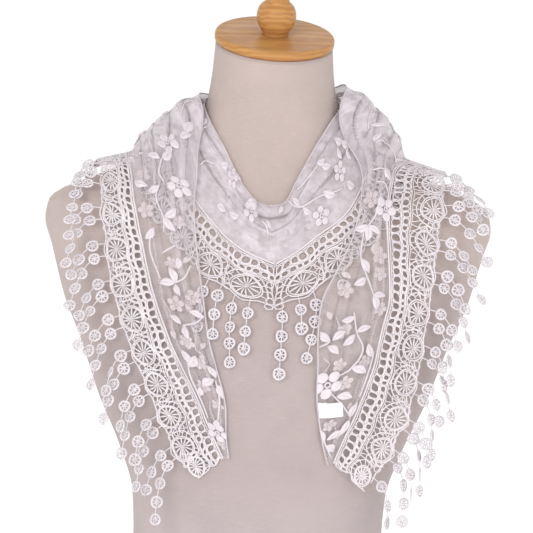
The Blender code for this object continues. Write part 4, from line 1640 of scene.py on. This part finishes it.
LEFT_FAINT = Chart(
    stems=(
        ((20, 86), (34, 80), (50, 88)), ((124, 12), (138, 22), (150, 14)),
        ((308, 90), (322, 80), (330, 88)), ((400, 72), (414, 60), (420, 74)),
        ((466, 44), (476, 36), (486, 42)), ((366, 12), (380, 22), (396, 16)),
    ),
    leaves=(
        (50, 88, 40, 11), (150, 14, 20, 11), (330, 88, 60, 10), (420, 74, 20, 10),
        (372, 60, 320, 9), (396, 16, 10, 10), (286, 80, 200, 9), (408, 88, 40, 9),
    ),
    flowers=(
        (56, 16, 0, 0.6), (150, 80, 10, 0.6), (204, 10, 30, 0.6), (250, 16, 0, 0.65),
        (284, 16, 30, 0.6), (366, 80, 20, 0.55), (372, 40, 50, 0.6),
        (408, 42, 10, 0.55), (296, 72, 0, 0.5), (335, 48, 20, 0.5),
        (430, 56, 30, 0.5), (470, 70, 0, 0.45), (452, 40, 12, 0.5), (512, 50, 8, 0.5),
    ),
)
RIGHT_CHART = Chart(
    stems=(
        ((14, 30), (28, 60), (50, 70), (70, 52)),
        ((84, 40), (98, 20), (120, 28), (136, 50)),
        ((150, 50), (166, 40), (180, 24)),
        ((217, 69), (203, 72), (189, 72)),
        ((230, 57), (227, 49), (225, 32), (231, 19), (238, 6)),
        ((261, 70), (259, 30)), ((272, 54), (271, 24), (278, 2)),
        ((282, 30), (300, 40), (312, 62)),
        ((318, 72), (340, 62), (356, 40), (372, 26)),
        ((420, 97), (415, 80)),
        ((388, 50), (406, 40), (419, 27), (430, 30), (441, 46), (448, 70)),
        ((461, 74), (474, 42), (487, 12)),
        ((497, 97), (511, 88), (530, 45)),
        ((423, 6), (446, 7), (467, 8)),
    ),
    leaves=(
        (28, 60, 130, 14), (40, 66, 20, 14), (70, 52, 60, 14), (70, 52, 340, 15),
        (98, 22, 90, 12), (112, 26, 330, 14), (136, 50, 50, 14), (136, 50, 340, 15),
        (136, 50, 270, 13), (166, 40, 20, 14), (180, 24, 130, 13),
        (211, 65, 118, 13), (229, 59, 182, 12), (265, 3, 225, 13),
        (312, 62, 350, 14), (312, 62, 290, 14), (312, 62, 60, 12), (340, 62, 30, 14),
        (356, 42, 300, 14), (372, 26, 20, 14), (372, 26, 90, 12), (392, 46, 290, 13),
        (415, 80, 229, 14), (414, 77, 129, 14), (419, 84, 59, 13),
        (406, 40, 113, 13), (408, 42, 318, 14), (438, 40, 72, 16),
        (465, 59, 83, 16), (487, 12, 178, 15), (490, 14, 352, 16),
        (508, 80, 118, 15), (510, 90, 216, 17), (514, 82, 47, 14),
        (428, 6, 212, 14),
    ),
    flowers=(
        (8, 72, 0, 0.85), (86, 74, 20, 0.9), (114, 72, 60, 0.75), (146, 18, 0, 0.75),
        (294, 6, 10, 0.8), (454, 80, 10, 1.05),
    ),
)
RIGHT_FAINT = Chart(
    stems=(
        ((20, 86), (34, 80), (50, 88)), ((330, 90), (344, 82), (352, 90)),
        ((392, 76), (402, 66), (398, 56)), ((496, 50), (508, 42), (520, 50)),
        ((296, 86), (304, 78), (316, 84)), ((430, 90), (436, 80), (446, 92)),
    ),
    leaves=(
        (50, 88, 40, 11), (150, 74, 20, 11), (352, 90, 60, 10), (398, 56, 20, 9),
        (326, 30, 320, 9), (472, 24, 10, 9), (388, 90, 40, 9), (316, 84, 20, 10),
    ),
    flowers=(
        (56, 16, 0, 0.6), (184, 80, 30, 0.6), (250, 46, 10, 0.6), (288, 62, 0, 0.6),
        (336, 20, 20, 0.6), (368, 70, 15, 0.6), (436, 62, 30, 0.5),
        (453, 45, 50, 0.55), (432, 17, 0, 0.5), (352, 16, 0, 0.5), (384, 10, 20, 0.5),
        (494, 70, 30, 0.5), (476, 92, 0, 0.5), (504, 30, 12, 0.45), (406, 62, 8, 0.5),
    ),
)
COWL_LEFT_CHART = Chart(
    stems=(
        ((14, 64), (7, 56), (6, 39)), ((93, 66), (104, 55), (108, 42)),
        ((128, 69), (130, 80), (124, 90)),
        ((152, 66), (176, 52), (198, 30)),
    ),
    leaves=(
        (75, 93, 36, 15), (38, 80, 207, 15), (72, 24, 197, 14), (9, 66, 162, 12),
        (43, 47, 21, 14), (140, 78, 231, 15), (152, 66, 40, 14), (176, 52, 330, 14),
        (198, 30, 30, 14), (24, 94, 31, 15), (62, 93, 200, 12),
    ),
    flowers=((63, 86, 0, 0.7), (31, 72, 40, 0.75), (160, 30, 20, 0.8),
             (216, 60, 0, 0.8)),
)
COWL_LEFT_FAINT = Chart(
    stems=(
        ((30, 30), (40, 22), (52, 28)), ((84, 40), (92, 26), (104, 20)),
        ((60, 60), (74, 52), (84, 60)), ((18, 86), (28, 92), (40, 88)),
    ),
    leaves=(
        (52, 28, 30, 10), (104, 20, 10, 10), (84, 60, 20, 10), (112, 80, 200, 10),
        (20, 42, 60, 9), (96, 92, 350, 9), (60, 36, 120, 8),
    ),
    flowers=(
        (63, 66, 0, 0.6), (24, 24, 10, 0.6), (88, 74, 30, 0.55), (124, 50, 0, 0.6),
        (46, 62, 20, 0.5), (78, 14, 8, 0.5), (112, 32, 24, 0.5), (10, 84, 12, 0.5),
    ),
)
COWL_RIGHT_CHART = Chart(
    stems=(
        ((26, 96), (40, 60), (65, 44), (89, 26)),
        ((44, 88), (55, 84), (76, 80)),
        ((118, 50), (140, 72), (164, 60), (188, 34)),
    ),
    leaves=(
        (106, 80, 47, 15), (114, 68, 48, 15), (116, 55, 90, 12), (104, 69, 90, 12),
        (42, 56, 52, 12), (96, 27, 55, 15), (40, 62, 241, 14), (140, 72, 40, 14),
        (164, 60, 320, 14), (188, 34, 20, 14), (74, 84, 20, 12), (78, 75, 42, 13),
        (68, 47, 45, 15), (10, 81, 332, 10),
    ),
    flowers=((57, 21, 0, 0.7), (94, 44, 30, 0.7), (150, 30, 20, 0.8),
             (210, 60, 0, 0.8)),
)
COWL_RIGHT_FAINT = Chart(
    stems=(
        ((16, 30), (26, 22), (38, 28)), ((74, 62), (84, 54), (96, 60)),
        ((12, 70), (20, 80), (30, 76)), ((58, 96), (74, 92), (88, 96)),
    ),
    leaves=(
        (38, 28, 30, 10), (96, 90, 10, 10), (78, 14, 20, 9), (20, 48, 60, 10),
        (60, 68, 200, 9), (120, 34, 350, 9), (84, 72, 120, 8),
    ),
    flowers=(
        (24, 58, 0, 0.6), (74, 30, 10, 0.55), (64, 58, 30, 0.5), (10, 40, 0, 0.5),
        (88, 86, 20, 0.55), (118, 18, 8, 0.6), (36, 90, 24, 0.5), (46, 36, 12, 0.45),
    ),
)
# first and last distance, place across at each, half width
LEFT_PLEATS: Table = (
    (30.0, 330.0, -0.84, -0.80, 3.0), (200.0, 520.0, -0.62, -0.74, 2.6),
    (20.0, 300.0, -0.34, -0.38, 3.0), (270.0, 500.0, -0.20, -0.16, 1.8),
)
RIGHT_PLEATS: Table = (
    (40.0, 300.0, -0.86, -0.78, 3.0), (10.0, 260.0, -0.52, -0.60, 3.2),
    (220.0, 400.0, -0.34, -0.22, 2.6), (330.0, 520.0, -0.12, -0.14, 1.6),
)
COWL_PLEATS: Table = (
    (20.0, 120.0, -0.74, -0.84, 2.0), (-40.0, 60.0, -0.46, -0.54, 1.8),
)


# ---- fringe ----

# column along the fringe, then how far its strands lean in x and y for each step down
LEFT_WRAP_LEAN: Table = (
    (0, 0.0, 0.2), (14, -0.1, 0.5), (20, 0.2, 1.0), (22, 0.4, -1.5), (26, 0.1, -0.8),
    (29, 0.0, -0.5), (30, 0.0, -0.4), (50, 0.05, 0.0),
)
RIGHT_WRAP_LEAN: Table = (
    (0, 0.0, 0.2), (14, 0.1, 0.5), (20, 0.1, 0.9), (22, 0.2, -0.9), (26, 0.3, -0.6),
    (29, 0.4, -0.4), (30, 0.36, -0.4), (34, 0.1, -0.25), (38, -0.1, -0.1), (50, -0.3, 0.0),
)
COWL_LEFT_LEAN: Table = ((0, 0.0, 0.0), (1, 0.0, 0.0), (4, 0.15, 0.0))
COWL_RIGHT_LEAN: Table = ((0, 0.05, 0.0), (1, -0.1, 0.0), (2, -0.35, 0.0))
# discs and lift of each strand of the cowl, out from its point
COWL_LEFT_PLAN: Table = ((0, 0.0), (3, 2.4), (4, 0.0), (3, 2.4), (3, 0.0))
COWL_RIGHT_PLAN: Table = ((4, 0.0), (2, 2.4), (4, 0.0), (0, 2.4), (1, 0.0))


@dataclass
class Fringe:
    """Strands of crochet discs hung from the scallops.

    Its plan has a row for each column of the edge: how many discs, and the lift of the strand
    over the one beside it.
    """

    stretch: Stretch
    skein: Skein
    dice: random.Random
    slope: float
    column: float = 10.0
    repeat: int = 3
    scallop: Triple = (0.90, 0.90, 1.0)
    strip_gap: float = 0.3
    strip_width: float = 2.4
    full: tuple[int, ...] = (0, 3, 4)
    thin: tuple[int, ...] = (0, 0, 3)
    lifts: Triple = (0.0, 2.4, 0.0)
    root: float = 5.0
    tuck: float = 3.0
    disc_pitch: float = 17.0
    disc_radius: float = 5.9
    disc_sizes: tuple[float, float] = (0.92, 1.08)
    rings: Table = ((0.81, 1.1, 14), (0.2, 0.95, 6))
    hang: float = 18.0
    clearance: float = 1.9
    ease: float = 9.0
    cord: float = 0.55
    petals: int = 7
    forward: float = 0.9
    sway: float = 0.07
    turn: float = 0.32
    slip: float = 1.3

    def track(self, start: Array, away: Array, travel: float, lift: float,
              lean: Array) -> Array:
        """The line of a strand that leaves the edge and falls.

        Args:
            start: where it leaves the edge.
            away: the way it leaves.
            travel: its length.
            lift: its place over the strand beside it.
            lean: how far it leans in x and y for each step down.

        Returns:
            Points a millimetre apart.
        """
        form = self.stretch.form
        point = np.array(start, float)
        pull = unit(np.array([lean[0], lean[1], -1.0]))
        line = [start - away * self.tuck, point]
        covered = 0.0
        while covered < travel + 3.0:
            fall = 1 - math.exp(-covered / self.hang)
            heading = unit(unit(away) * (1 - fall) + pull * fall)
            moved = form.settle((point + heading)[None], self.clearance)[0]
            covered += max(float(np.linalg.norm(moved - point)), 0.2)
            point = moved
            _, outward = form.away(point[None])
            height = self.slope * covered + lift * min(covered / self.ease, 1.0)
            line.append(point + outward[0] * height)
        return np.array(line)

    def add_disc(self, centre: Array, heading: Array, face: Array) -> None:
        """A small crochet wheel: rim, eye and petals.

        Args:
            centre: its middle.
            heading: the way its cord runs.
            face: the way it faces.
        """
        side = unit(np.cross(heading, face))
        up = unit(np.cross(side, heading))
        size = self.disc_radius * self.dice.uniform(*self.disc_sizes)
        flat = np.stack([heading, side])
        turn = self.dice.uniform(0, 1)
        for reach, width, places in self.rings:
            angle = circle(places)
            ring = rays(angle) @ flat * size * reach
            ring *= 1 + 0.05 * np.sin(3 * angle + 9 * turn)[:, None]
            line = centre + ring
            self.skein.threads(line[None], np.broadcast_to(up, line.shape)[None], width, 0.8,
                               True)
        petals = (rays(circle(self.petals) + turn) @ flat)[:, None]
        line = centre + petals * (np.array([0.2, 0.5, 0.85])[:, None] * size)
        self.skein.threads(line, np.broadcast_to(up, line.shape),
                           np.broadcast_to([0.5, 0.6, 0.8], line.shape[:2]), 0.6)

    def add_strand(self, line: Array, across: Array, discs: int) -> None:
        """A cord with its discs.

        Args:
            line: its track.
            across: the way along the edge it hangs from.
            discs: how many discs it carries.
        """
        form = self.stretch.form
        run = distances(line)
        end = self.root + self.disc_pitch * (discs - 0.5)
        side = unit(np.asarray(across, float))

        def read(at: float | Array) -> Array:
            """Points of the track at distances along it."""
            return np.stack([np.interp(at, run, line[:, k]) for k in range(3)], axis=-1)

        cord = read(np.linspace(0.0, end, 5 * discs + 3))
        _, outward = form.away(cord)
        self.skein.threads(cord[None], outward[None], self.cord, self.cord)
        for index in range(discs):
            slip = self.dice.uniform(-self.slip, self.slip)
            travel = self.root + self.disc_pitch * (index + 0.5) + slip
            centre = read(travel)
            heading = unit(read(travel + 2) - read(travel - 2))
            _, outward = form.away(centre[None])
            level = np.cross(heading, outward[0])
            level = level * math.copysign(1.0, float(np.dot(level, side)))
            if np.linalg.norm(level) > 0.4:
                side = level
            side = unit(side - heading * np.dot(side, heading))
            face = np.cross(heading, side)
            face = face * math.copysign(1.0, float(np.dot(face, outward[0])))
            turn = self.dice.gauss(0.0, self.turn)
            face = face * math.cos(turn) + side * math.sin(turn)
            face = face + np.array([0.0, -self.forward, 0.0]) * max(float(outward[0, 2]), 0.0)
            self.add_disc(centre, heading, face)

    def edge(self, column: int) -> float:
        """Place across of the scalloped edge at a column."""
        return self.scallop[column % self.repeat]

    def plan(self, bare: tuple[int, int]) -> Table:
        """Discs and lift of each strand of an end of the shawl.

        Args:
            bare: the columns on the shoulder's crest, thin fringe before them and full after.

        Returns:
            Discs and lift for every column.
        """
        rows = []
        for column in range(int(self.stretch.length / self.column)):
            pattern = self.full if column >= bare[1] else self.thin
            repeat = column % self.repeat
            discs = 0 if bare[0] <= column < bare[1] else pattern[repeat]
            rows.append((discs, self.lifts[repeat]))
        return tuple(rows)

    def hang_strand(self, column: int, discs: int, lift: float, lean: Array) -> None:
        """Hang one strand from its column of the edge.

        Args:
            column: the column's number.
            discs: how many discs it carries.
            lift: its place over the strand beside it.
            lean: how far it leans in x and y for each step down.
        """
        ends = np.array([column, column + 1]) * self.column
        _, lace = self.stretch.widths(ends)
        edge = np.array([self.edge(column), self.edge(column + 1)])
        low = self.stretch.surface(ends, (edge + self.strip_gap / lace)[:, None])[:, 0]
        out = self.strip_gap + self.strip_width
        high = self.stretch.surface(ends, (edge + out / lace)[:, None])[:, 0]
        start = high.mean(axis=0)
        away = unit(start - low.mean(axis=0))
        lean = lean + [self.dice.gauss(0.0, self.sway), self.dice.gauss(0.0, self.sway)]
        travel = self.root + self.disc_pitch * discs
        line = self.track(start, away, travel, lift, lean)
        self.add_strand(line, high[1] - high[0], discs)

    def make(self, plan: Table, lean: Table) -> None:
        """Hang the fringe.

        Args:
            plan: discs and lift of every column.
            lean: the strands' leans by column.
        """
        table = np.array(lean)
        for column, (discs, lift) in enumerate(plan):
            if discs:
                pull = [np.interp(column, table[:, 0], table[:, k]) for k in (1, 2)]
                self.hang_strand(column, discs, lift, np.array(pull))
        count = len(plan)
        travel = np.linspace(0.3, count * self.column - 0.3, count * 4)
        _, lace = self.stretch.widths(travel)
        edge = np.interp(travel / self.column, np.arange(count + 1),
                         [self.edge(column) for column in range(count + 1)])
        line, normal = self.stretch.at(travel, edge + 1.2 / lace)
        self.skein.threads(line[None], normal[None], 0.7, 0.6)


# ---- label ----


@dataclass
class Label:
    """A blank woven label sewn on beside the hem."""

    stretch: Stretch
    finishes: Finishes
    from_tip: float = 53.0
    across: float = 14.0
    length: float = 22.0
    inset: float = 1.0
    off: float = 1.2
    thickness: float = 0.5
    swell: float = 0.35
    stitch_pitch: float = 1.6

    def make(self) -> None:
        """The label and the stitches along its two ends."""
        stretch = self.stretch
        start = stretch.length - self.from_tip - self.across
        travel = np.linspace(start, start + self.across, 10)
        reach = np.linspace(self.inset, self.inset + self.length, 14)
        net, _ = stretch.widths(travel)
        across = -1 + reach[None] / net[:, None]
        grid = np.broadcast_to(travel[:, None], across.shape)
        soft = self.swell * np.sin(np.linspace(0, math.pi, 14))[None] * np.ones((10, 1))
        skein = Skein()
        outer, _ = stretch.at(grid, across, self.off + self.thickness + soft)
        inner, _ = stretch.at(grid, across, self.off + soft)
        coords = pair(grid, reach)
        skein.grid(outer, coords)
        skein.grid(inner[::-1], coords)
        for rim_out, rim_in in (
            (outer[0], inner[0]), (inner[-1], outer[-1]),
            (inner[:, 0], outer[:, 0]), (outer[:, -1], inner[:, -1]),
        ):
            skein.grid(np.stack([rim_out, rim_in]), np.zeros((2, len(rim_out), 2)))
        skein.piece("blank_label", self.finishes.label, "label", ("label",))
        stitches = Skein()
        for place in (self.inset + 1.0, self.inset + self.length - 1.0):
            for begin in np.arange(start + 1.0, start + self.across - 1.5, self.stitch_pitch):
                t = np.linspace(begin, begin + 1.1, 4)
                net, _ = stretch.widths(t)
                line, normal = stretch.at(t, -1 + place / net, self.off + self.thickness + 0.25)
                stitches.threads(line[None], normal[None], 0.2, 0.18)
        stitches.piece("label_stitches", self.finishes.stitch, "label")


# ---- the shawl ----


@dataclass(frozen=True)
class Run:
    """What one run of the shawl is cut and worked to.

    Without a plan of its own, its fringe follows the border's repeat.  Its slope is how steeply
    its strands stand off the cloth.
    """

    sections: Table
    folds: Table
    slack: Triple
    pleats: Table
    chart: Chart
    faint: Chart
    lean: Table
    slope: float = 0.22
    plan: Table = ()
    mitred: bool = False


LEFT_RUN = Run(LEFT_SECTIONS, LEFT_FOLDS, (1.0, 0.5, 1.5), LEFT_PLEATS, LEFT_CHART, LEFT_FAINT,
               LEFT_WRAP_LEAN)
RIGHT_RUN = Run(RIGHT_SECTIONS, RIGHT_FOLDS, (1.5, 1.5, 16.0), RIGHT_PLEATS, RIGHT_CHART,
                RIGHT_FAINT, RIGHT_WRAP_LEAN)
COWL_LEFT_RUN = Run(COWL_LEFT_SECTIONS, COWL_FOLDS, (1.5, 0.5, 0.5), COWL_PLEATS,
                    COWL_LEFT_CHART, COWL_LEFT_FAINT, COWL_LEFT_LEAN, 0.04, COWL_LEFT_PLAN, True)
COWL_RIGHT_RUN = Run(COWL_RIGHT_SECTIONS, COWL_FOLDS, (1.5, 0.5, 0.5),
                     COWL_PLEATS, COWL_RIGHT_CHART, COWL_RIGHT_FAINT, COWL_RIGHT_LEAN, 0.04,
                     COWL_RIGHT_PLAN, True)


@dataclass
class Needlework:
    """One part of the shawl in the making: a skein for each of its pieces."""

    form: DressForm
    finishes: Finishes
    dice: random.Random
    bare_columns: tuple[int, int] = (18, 23)

    def __post_init__(self) -> None:
        """Take up the skeins."""
        self.ground, self.hem, self.lace, self.satin, self.shade, self.fringe = (
            Skein() for _ in range(6))

    def work(self, run: Run) -> Net:
        """Work all of a run but its ground.

        Args:
            run: what it is worked to.

        Returns:
            Its ground, for the sheet.
        """
        stretch = Stretch(self.form, run.sections, run.folds, run.slack)
        net = Net(stretch, run.pleats)
        net.roll_hem(self.hem)
        border = LaceBorder(stretch, self.lace)
        border.make()
        Embroidery(stretch, self.satin).make(run.chart)
        ShadowWork(stretch, self.shade).make(run.faint)
        if run.mitred:
            border.add_mitre()
        fringe = Fringe(stretch, self.fringe, self.dice, run.slope)
        fringe.make(run.plan or fringe.plan(self.bare_columns), run.lean)
        return net

    def sew(self, name: str, ground: str, nodes: tuple[str, ...], halves: tuple[str, ...],
            finish: Material, sheet: tuple[Array, Array]) -> None:
        """Args:
            name: the part's name.
            ground: its ground's name.
            nodes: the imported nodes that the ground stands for.
            halves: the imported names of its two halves, without what they are.
            finish: the ground's finish.
            sheet: the ground's points and thread coordinates.
        """
        finishes = self.finishes
        self.ground.grid(*sheet)
        net = self.ground.piece(ground, finish, "net", nodes)
        borders = tuple(half + "_border" for half in halves)
        fringes = tuple(half + "_fringe" for half in halves)
        parts = [
            self.hem.piece(name + "_hem", finishes.roll, "net"),
            self.lace.piece(name + "_lace", finishes.lace, "lace", borders),
            self.satin.piece(name + "_embroidery", finishes.satin, "net"),
            self.shade.piece(name + "_shadow_work", finishes.shade, "net"),
            self.fringe.piece(name + "_fringe", finishes.fringe, "fringe", fringes),
        ]
        self.declare(net, sheet[0], parts)

    @staticmethod
    def declare(sheet: Thing, points: Array, parts: list[Thing]) -> None:
        """Take a stretch's net and what is sewn to it; no flat cut is stated or measured.

        Args:
            sheet: the net of the stretch; not used.
            points: its points, as distances by lines; not used.
            parts: what is sewn to it; not used.
        """


@dataclass
class Shawl:
    """The wrapped triangle: two ends, and the cowl between them."""

    form: DressForm
    finishes: Finishes
    dice: random.Random = field(default_factory=lambda: random.Random(7))

    def make_end(self, side: Side, run: Run) -> Stretch:
        """One end, from the nape over the shoulder and down the front.

        Args:
            side: which side it hangs on.
            run: what it is cut and worked to.

        Returns:
            The stretch, for what is sewn to it.
        """
        needlework = Needlework(self.form, self.finishes, self.dice)
        net = needlework.work(run)
        halves = (side.value + "_wrap", side.value + "_fall")
        needlework.sew(side.value + "_end", side.value + "_end_net",
                       tuple(half + "_net" for half in halves), halves, self.finishes.net,
                       net.sheet())
        return net.stretch

    def make_cowl(self) -> None:
        """The cowl round the front of the neck, with its mitred point."""
        needlework = Needlework(self.form, self.finishes, self.dice)
        left = needlework.work(COWL_LEFT_RUN)
        right = needlework.work(COWL_RIGHT_RUN)
        needlework.sew("cowl", "cowl_ground", ("cowl_net",), ("cowl_left", "cowl_right"),
                       self.finishes.cowl, left.joined(right))

    def make(self) -> None:
        """Build the whole shawl."""
        self.make_cowl()
        self.make_end(Side.LEFT, LEFT_RUN)
        right = self.make_end(Side.RIGHT, RIGHT_RUN)
        Label(right, self.finishes).make()


# ---- studio ----


@dataclass
class Studio:
    """A pale floor, soft light and the camera."""

    target: Triple = (0.0, 0.0, 0.453)
    distance: float = 2.0
    dip: float = math.radians(5.0)
    roll: float = math.radians(2.0)
    half_frame_px: float = 266.5
    focal_px: float = 2000.0 / 0.95
    floor_radius: float = 6.0
    floor_hole: float = 0.02
    floor_sides: int = 64
    floor_glow: float = 0.3

    def build_floor(self) -> None:
        """A round pale floor."""
        board, _ = start_material("pale_floor", Base_Color=(0.95, 0.95, 0.95, 1), Roughness=0.9,
                                  Specular_IOR_Level=0.1, Emission_Color=(1, 1, 1, 1),
                                  Emission_Strength=self.floor_glow)
        radii = np.concatenate([[self.floor_hole], np.linspace(0.2, self.floor_radius, 12)])
        flat = radii[:, None, None] * rays(circle(self.floor_sides))[None] / MM
        skein = Skein()
        skein.grid(np.concatenate([flat, np.zeros((*flat.shape[:2], 1))], axis=-1),
                   np.zeros((*flat.shape[:2], 2)), wrap=True)
        skein.mesh("floor", board.owner, (list(range(self.floor_sides)),))

    def add_light(self, name: str, place: Triple, size: float, power: float) -> None:
        """A square soft light aimed at the form.

        Args:
            name: its name.
            place: where it hangs, in metres.
            size: its side.
            power: its power in watts.
        """
        data = bpy.data.lights.new(name, "AREA")
        data.size = size
        data.energy = power
        lamp = bpy.data.objects.new(name, data)
        lamp.location = place
        aim = Vector(self.target) - Vector(place)
        lamp.rotation_mode = "QUATERNION"
        lamp.rotation_quaternion = aim.to_track_quat("-Z", "Y")
        bpy.context.scene.collection.objects.link(lamp)

    def build_lights(self) -> None:
        """Soft key, fill and an even white surround."""
        world = bpy.data.worlds.new("surround")
        bpy.context.scene.world = world
        world.use_nodes = True
        board = NodeBoard(world.node_tree)
        aim = board.add("SeparateXYZ", i0=board.add("TexCoord", out="Generated"), out="Y")
        tone = board.add("MapRange", Value=aim, i1=-0.3, i2=0.5, i3=0.62, i4=1.02)
        back = world.node_tree.nodes["Background"]
        board.join(tone, back.inputs["Color"])
        self.add_light("key", (-1.0, -2.5, 1.35), 1.2, 28.0)
        self.add_light("fill", (1.2, -2.4, 1.1), 1.4, 18.0)

    def build_camera(self) -> None:
        """The camera, a little above the point of the cowl and looking slightly down."""
        data = bpy.data.cameras.new("camera")
        data.sensor_fit = "HORIZONTAL"
        data.angle = 2 * math.atan(self.half_frame_px / self.focal_px)
        data.clip_start = 0.05
        data.clip_end = 50.0
        camera = bpy.data.objects.new("camera", data)
        tilt = Matrix.Rotation(math.pi / 2 - self.dip, 4, "X")
        camera.matrix_world = (
            Matrix.Translation(self.target) @ tilt @ Matrix.Rotation(self.roll, 4, "Z")
            @ Matrix.Translation((0.0, 0.0, self.distance))
        )
        bpy.context.scene.collection.objects.link(camera)
        bpy.context.scene.camera = camera

    def build(self) -> None:
        """Build the whole studio."""
        self.build_floor()
        self.build_lights()
        self.build_camera()
        scene = bpy.context.scene
        scene.view_settings.view_transform = "Standard"
        scene.cycles.transparent_max_bounces = 24


def main() -> None:
    """Dress the form, then the shawl, then the studio."""
    logging.basicConfig(level=logging.INFO, format="%(name)s: %(message)s")
    finishes = Finishes.make()
    form = DressForm()
    form.build_torso(finishes.linen)
    form.build_turned(finishes.wood)
    Shawl(form, finishes).make()
    Studio().build()


if __name__ == "__main__":
    main()
